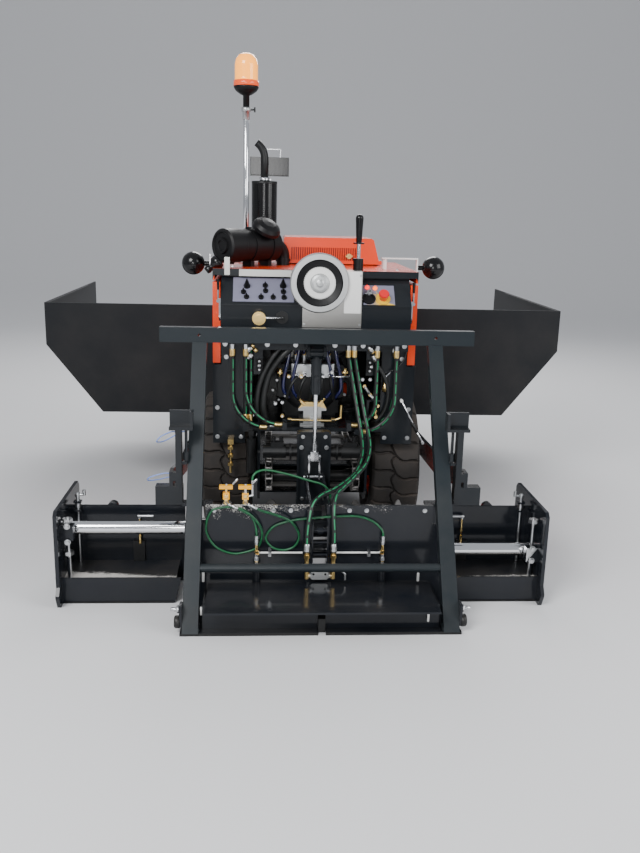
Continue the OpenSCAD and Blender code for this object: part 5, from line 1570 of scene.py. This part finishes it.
@dataclass
class Beacon:
    """The lit amber beacon on its pole.

    Attributes:
        foot: Middle of the pole's foot.
        top: Height of the dome's top.
    """

    foot: Point = (-0.33, -0.30, 1.340)
    top: float = 2.320

    def build(self) -> None:
        """Builds the pole, the bowl, the skirt, the ribbed dome and its lit core."""
        x, y, deck = self.foot
        made = MeshMaker("beacon")
        made.turned(ZINC, (x, y, deck), (0, 0, 1),
                    [(0.037, 0), (0.037, 0.006), (0.034, 0.008), (0.016, 0.009), (0.014, 0.016)], 32)
        made.rod(CHROME, (x, y, deck + 0.006), (x, y, 2.06), 0.028, 28)
        made.turned(CAST_ALLOY, (x, y, 2.02), (0, 0, 1),
                    [(0.0145, 0), (0.0175, 0.002), (0.0175, 0.037), (0.023, 0.038), (0.023, 0.056),
                     (0.016, 0.058)], 28)
        made.turned(BLACK_PLASTIC, (x, y, 2.076), (0, 0, 1),
                    [(0.0155, 0), (0.0155, 0.054), (0.030, 0.060), (0.050, 0.074), (0.059, 0.088),
                     (0.0605, 0.096), (0.055, 0.097)], 40)
        made.rod(BLACK_METAL, (x + 0.02, y, 2.067), (x + 0.044, y, 2.067), 0.008, 10)
        made.block(BLACK_METAL, (x + 0.037, y - 0.0025, 2.055), (x + 0.045, y + 0.0025, 2.079), 0.001)
        made.turned(BEACON_SKIRT, (x, y, 2.172), (0, 0, 1),
                    [(0.056, -0.001), (0.0608, 0.0), (0.0605, 0.0245), (0.0545, 0.0255)], 48)
        body = [(0.0545, 2.196), (0.0552, 2.20)]
        for k in range(11):
            z = 2.205 + k * 0.0062
            body += [(0.0553, z), (0.0543, z + 0.0031)]
        body += [(0.0535, 2.276), (0.049, 2.294), (0.036, 2.311), (0.018, self.top - 0.001), (0, self.top)]
        made.turned(BEACON_DOME, (x, y, 0), (0, 0, 1), body, 48)
        made.ball(BEACON_CORE, (x, y - 0.02, 2.235), 0.044, 1.3)
        made.finish_piece(Body.CHASSIS, "amber", "beacon")


@dataclass
class Conveyor:
    """The slat conveyor's two chains, slats, shafts and sprockets, in metres.

    Attributes:
        back: Place of the rear shaft along Y.
        front: Place of the front shaft.
        height: Height of both shafts.
        radius: Radius of the chains' bend.
        aside: Distance of each chain from the middle.
        slat: Length of a slat.
        pitch: Distance from one slat to the next.
    """

    back: float = -0.725
    front: float = 1.345
    height: float = 0.360
    radius: float = 0.0675
    aside: float = 0.2075
    slat: float = 0.382
    pitch: float = 0.208

    def build(self) -> None:
        """Grows both chains and adds the slats and sprockets."""
        line = self._line()
        made = MeshMaker("conveyor_slats")
        for side in (-1, 1):
            seed = bpy.data.meshes.new("chain line")
            seed.from_pydata([(side * self.aside, y, z) for y, z in line],
                             [(i, (i + 1) % len(line)) for i in range(len(line))], [])
            chain = grown_mesh("conveyor_chain_" + ("left" if side < 0 else "right"), chain_tree(), seed,
                               {"Links": 90, "Link length": 0.046, "Link height": 0.013, "Chain width": 0.03,
                                "Roller width": 0.0145, "Finish": WORN_STEEL.material()})
            settle(chain, Body.CHASSIS, "steel", *(["conveyor"] if side < 0 else []))
            for y in (self.back, self.front):
                self._sprocket(made, side * self.aside, y)
        for y in (self.back, self.front):
            made.rod(BLACK_METAL, (-0.25, y, self.height), (0.25, y, self.height), 0.05, 24)
        for k in range(10):
            for z in (self.height - 0.075, self.height + 0.061):
                y = self.back + 0.06 + k * self.pitch
                made.plate(WORN_STEEL, [(-self.slat / 2, y + along, z + up) for along, up in (
                    (0, 0), (0.035, 0), (0.035, 0.014), (0.029, 0.014), (0.029, 0.005), (0.006, 0.005),
                    (0.006, 0.014), (0, 0.014))], (self.slat, 0, 0))
        made.finish_piece(Body.CHASSIS, "steel")

    def _line(self) -> list[tuple[float, float]]:
        """Draws a chain's closed line over both shafts.

        Returns:
            Places along Y and heights.
        """
        line, steps = [], 16
        for start, end, way in ((self.back, self.front, 1), (self.front, self.back, -1)):
            line += [(start + t * (end - start) / 40, self.height + way * self.radius) for t in range(40)]
            line += [(end + way * self.radius * math.sin(math.pi * t / steps),
                      self.height + way * self.radius * math.cos(math.pi * t / steps)) for t in range(steps)]
        return line

    def _sprocket(self, made: MeshMaker, x: float, y: float) -> None:
        """Adds a toothed wheel.

        Args:
            made: The mesh that gathers the parts.
            x: Its middle along X.
            y: Its shaft along Y.
        """
        teeth, root, tip = 10, 0.055, 0.066
        outline = []
        for k in range(teeth * 4):
            a, r = 2 * math.pi * k / (teeth * 4), tip if k % 4 in (0, 1) else root
            outline.append((x - 0.006, y + r * math.sin(a), self.height + r * math.cos(a)))
        made.plate(BLACK_METAL, outline, (0.012, 0, 0))
        made.turned(BLACK_METAL, (x - 0.02, y, self.height), (1, 0, 0),
                    [(0.026, 0), (0.036, 0.002), (0.036, 0.038), (0.026, 0.04)], 28)


@dataclass
class TyreTread:
    """One rear tyre with wavy cross grooves between its blocks.

    Attributes:
        side: -1 on the left, 1 on the right.
        around: Steps round the tyre.
        across: Steps over its crown.
        pitches: Blocks round the tyre.
        groove: Depth of the grooves.
        fall: How far the crown falls off towards its edges.
        shoulder: Width of each shoulder beside the crown.
    """

    side: int
    around: int = 450
    across: int = 46
    pitches: int = 25
    groove: float = 0.013
    fall: float = 0.010
    shoulder: float = 0.016

    def _depth(self, turn: float, over: float) -> float:
        """Works out how deep the tread is cut at a place.

        Args:
            turn: Place round the tyre, in block pitches.
            over: Place over the crown, from -1 to 1.

        Returns:
            The depth from 0 to 1.
        """
        wave = turn + 0.26 * math.tanh(3.2 * over) + 0.05 * math.sin(6 * over)
        lateral = abs((wave + 0.5) % 1.0 - 0.5)
        link = abs(over - 0.34 * math.sin(2 * math.pi * wave * 0.5) * (1 if int(wave // 1) % 2 else -1) * 0.7)
        cut = max(1 - lateral / 0.075, 1 - link / 0.05 if abs(over) < 0.5 else 0.0)
        return min(1.0, max(0.0, cut * 1.8))

    def build(self) -> None:
        """Builds the tyre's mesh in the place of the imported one."""
        name = "rear_tyre_" + ("left" if self.side < 0 else "right")
        low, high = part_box(name)
        centre, radius = (low + high) / 2, (high.z - low.z) / 2
        half, made = (high.x - low.x) / 2, []
        crown = half - self.shoulder
        wall = [(-half + 0.023, 0.212), (-half + 0.004, 0.232), (-half, 0.285),
                (-half + 0.004, radius - 0.028)]
        for k in range(self.around):
            turn = k * self.pitches / self.around
            ring = list(wall)
            for j in range(self.across + 1):
                over = 2 * j / self.across - 1
                drop = self.fall * abs(over) ** 4 + self.groove * self._depth(turn, over)
                ring.append((over * crown, radius - drop))
            ring += [(-x, r) for x, r in reversed(wall)]
            angle = 2 * math.pi * k / self.around
            made += [(centre.x + x, centre.y + r * math.sin(angle), centre.z + r * math.cos(angle))
                     for x, r in ring]
        count = len(wall) * 2 + self.across + 1
        faces = []
        for k in range(self.around):
            here, there = k * count, (k + 1) % self.around * count
            for j in range(count):
                n = (j + 1) % count
                faces.append((here + j, there + j, there + n, here + n))
        mesh = bpy.data.meshes.new(name + "_tread")
        mesh.from_pydata(made, [], faces)
        mesh.materials.append(TYRE_RUBBER.material())
        work = bmesh.new()
        work.from_mesh(mesh)
        bmesh.ops.recalc_face_normals(work, faces=work.faces)
        work.to_mesh(mesh)
        work.free()
        settle(mesh_object(name + "_tread", mesh), Body.WHEEL_LEFT if self.side < 0 else Body.WHEEL_RIGHT,
               "tyre", name)


@dataclass
class Lamps:
    """Glass, bulb and rings of the round lamp, the floodlight, the ball lamps and the black horn."""

    def build(self) -> None:
        """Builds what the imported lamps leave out."""
        made = MeshMaker("lamp_details")
        # The white enamel ring is the lamp's metal reflector, painted white as a painted reflection of bright
        # light.
        made.turned(WHITE_ENAMEL, mm(10, -855, 1291), (0, -1, 0),
                    [(0.0685, 0), (0.068, 0.004), (0.060, 0.006), (0.044, 0.0061)], 64)
        made.turned(CAST_ALLOY, mm(10, -858, 1291), (0, -1, 0),
                    [(0.043, 0), (0.043, 0.005), (0.039, 0.007), (0.034, 0.006), (0.030, 0.010),
                     (0.022, 0.011), (0.019, 0.016), (0.010, 0.0185), (0, 0.019)], 48)
        made.block(WHITE_ENAMEL, mm(122, -840, 1158), mm(198, -838.2, 1344), 0.0006)
        for x in (-56, 194):
            for z in (1106, 1326):
                made.rod(ZINC, mm(x, -838, z), mm(x, -842, z), 0.011, 12)
        made.block(LAMP_GLASS, mm(-302, -110, 1780), mm(-128, -103.5, 1850), 0.004)
        made.block(CHROME, mm(-300, -112, 1783), mm(-130, -110.5, 1847))
        made.rod(WHITE_ENAMEL, mm(-262, -108, 1815), mm(-168, -108, 1815), 0.01, 16)
        for side in (-1, 1):
            made.turned(LAMP_GLASS, mm(side * 570, -514, 1350), (0, 1, 0),
                        [(0.042, 0), (0.040, 0.008), (0.03, 0.014), (0, 0.017)], 40)
            made.turned(CHROME, mm(side * 570, -518, 1350), (0, 1, 0),
                        [(0.041, 0), (0.044, 0.002), (0.044, 0.006), (0.041, 0.007)], 40)
            made.rod(ZINC, mm(side * 491, -558, 1338), mm(side * 484, -558, 1338), 0.013, 6)
        made.turned(BLACK_GLOSS, mm(-492, -700, 1331), (0.75, 0.1, 0.6),
                    [(0, -0.012), (0.014, -0.012), (0.018, 0.0), (0.015, 0.014), (0.012, 0.022), (0.02, 0.03),
                     (0.031, 0.04), (0.033, 0.056), (0.028, 0.068), (0, 0.072)], 32)
        made.rod(BLACK_METAL, mm(-470, -700, 1344), mm(-430, -690, 1341), 0.012, 10)
        made.finish_piece(Body.CHASSIS, "chrome")


@dataclass
class HoodSlotShade:
    """A black sheet of painted shade that stands for the dark inside of the hood behind its louvre slots."""

    def build(self) -> None:
        """Builds the sheet of painted shade close behind the hood's rear face."""
        made = MeshMaker("hood_slot_shade")
        # Black plastic sheet as painted shade: the hood's shaded inside seen through the slots.
        made.block(BLACK_PLASTIC, (-0.118, -0.2935, 1.357), (0.230, -0.2885, 1.430), 0.001)
        made.finish_piece(Body.HOOD, "black")


@dataclass
class ScreedDetails:
    """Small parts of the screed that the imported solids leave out."""

    def build(self) -> None:
        """Builds the burner nuts, valve spouts, hose sleeves, gap fittings, foot rollers and a black block of
        painted shade in the gap between the screed's halves.
        """
        made = MeshMaker("screed_details")
        for x in (-258, 258):
            for z in (206, 244, 288, 304):
                made.turned(BRASS if z < 280 else ZINC, mm(x, -1418, z), (0, 0, 1),
                            [(0.0088, 0), (0.0098, 0.001), (0.0098, 0.011), (0.0088, 0.012)], 6, False)
        for x in (-381, -304):
            made.rod(ZINC, mm(x + 26, -1390, 528), mm(x + 46, -1392, 552), 0.010, 12)
            made.rod(ZINC, mm(x, -1388, 523), mm(x, -1388, 529), 0.011, 6)
            made.rod(BRASS, mm(x, -1405, 481), mm(x, -1399, 481), 0.018, 6)
            made.rod(ZINC, mm(x + 22, -1418, 448), mm(x + 48, -1425, 436), 0.0125, 12)
        for x in (-54, 54):
            made.turned(ZINC, mm(x, -1450, 262), (0, 0, 1), [
                (0.0075, 0), (0.013, 0.0005), (0.013, 0.006), (0.012, 0.01), (0.013, 0.015), (0.012, 0.02),
                (0.013, 0.025), (0.012, 0.03), (0.011, 0.036)], 24)
        for x in (-24, 24):
            made.rod(BLACK_GLOSS, mm(x, -1436, 158), mm(x, -1437.5, 158), 0.009, 16)
            made.rod(ZINC, mm(x * 1.6, -1436, 150), mm(x * 1.6, -1441, 150), 0.009, 6)
        for x in (-1, 1):
            made.block(SCREED_PAINT, mm(min(x * 541, x * 552), -1648, 30),
                       mm(max(x * 541, x * 552), -1600, 120), 0.002)
            made.rod(BLACK_METAL, mm(x * 548, -1628, 46), mm(x * 572, -1628, 46), 0.05, 28)
            made.rod(ZINC, mm(x * 550, -1626, 98), mm(x * 585, -1626, 98), 0.016, 14)
            made.rod(ZINC, mm(x * 552, -1626, 98), mm(x * 562, -1626, 98), 0.03, 6)
        for x, y, low, high, width in ((-470, -1604, 62, 96, 0.009), (420, -1630, 42, 82, 0.009),
                                       (-472, -1452, 134, 178, 0.011), (405, -1452, 134, 170, 0.011)):
            made.rod(WHITE_ENAMEL, mm(x, y, low), mm(x, y, high), width, 12)
        # A black block of painted shade fills the gap between the screed's two halves, where only shadow
        # shows.
        made.block(BLACK_METAL, mm(-14, -1640, 3), mm(14, -1400, 60), 0.001)
        made.finish_piece(Body.SCREED, "steel")


@dataclass
class WornLip:
    """The worn lower edge of one extension's screed plate.

    Attributes:
        body: The extension.
        inner: Distance of its inner end from the middle, with its sign.
        outer: Distance of its outer end.
    """

    body: Body
    inner: float
    outer: float

    def build(self) -> None:
        """Builds the lip along the foot of the rear plate."""
        made = MeshMaker(f"{self.body.value}_lip")
        low, high = sorted((self.inner, self.outer))
        made.block(BLACK_METAL, mm(low, -1369, 0.5), mm(high, -1365.2, 9), 0.0015)
        made.finish_piece(self.body, "steel")


BACK, AHEAD, UP = (0, -1, 0), (0, 1, 0), (0, 0, 1)
BOLTS = [
    BoltSet("chassis_bolts", Body.CHASSIS, [
        *(((x * s, -760, z), BACK, 17) for s in (-1, 1)
          for x, z in ((340, 560), (450, 560), (408, 940), (450, 700))),
        *(((x * s, -790, 1005), BACK, 19) for s in (-1, 1) for x in (90, 220, 412)),
        *(((x * s, -830, 1050), BACK, 13) for s in (-1, 1) for x in (120, 400)),
        *(((x * s, 1431, z), AHEAD, 19) for s in (-1, 1) for x, z in ((150, 420), (300, 420), (300, 480))),
        *(((s * 385, -640, 1340), UP, 13) for s in (-1, 1)),
        *(((s * 58, -867, 539), BACK, 17) for s in (-1, 1)),
        *(((s * 52, -867, z), BACK, 15) for s in (-1, 1) for z in (290, 590))]),
    BoltSet("screed_bolts", Body.SCREED, [
        *(((x * s, -1392, 418), BACK, 15) for s in (-1, 1) for x in (120, 190, 430)),
        *(((x * s, -1392, 330), BACK, 15) for s in (-1, 1) for x in (500, 535))]),
    *(BoltSet(name, body, [
        *(((inner, -1345, z), BACK, 21) for z in heights),
        *(((outer, y, z), (-1 if outer < 0 else 1, 0, 0), 19) for z in (340, 120) for y in (-1380, -1020))])
      for name, body, inner, outer, heights in (
          ("left_extension_bolts", Body.EXTENSION_LEFT, -1030, -1068, (262, 330)),
          ("right_extension_bolts", Body.EXTENSION_RIGHT, 910, 948, (178, 232)))),
]


def main() -> None:
    """Builds the studio and every sub-assembly's looks."""
    logging.basicConfig(level=logging.INFO, format="%(message)s", force=True)
    PhotoCamera().build()
    for hose in FREE_HOSES:
        hose.build()
    Paintwork().build()
    for piece in (EngineBay(), ExhaustLine(), Beacon(), Conveyor(), Lamps(), HoodSlotShade(), ScreedDetails(),
                  WornLip(Body.EXTENSION_LEFT, -600, -1050), WornLip(Body.EXTENSION_RIGHT, 480, 930),
                  TyreTread(-1), TyreTread(1), *BOLTS):
        piece.build()


if __name__ == "__main__":
    main()
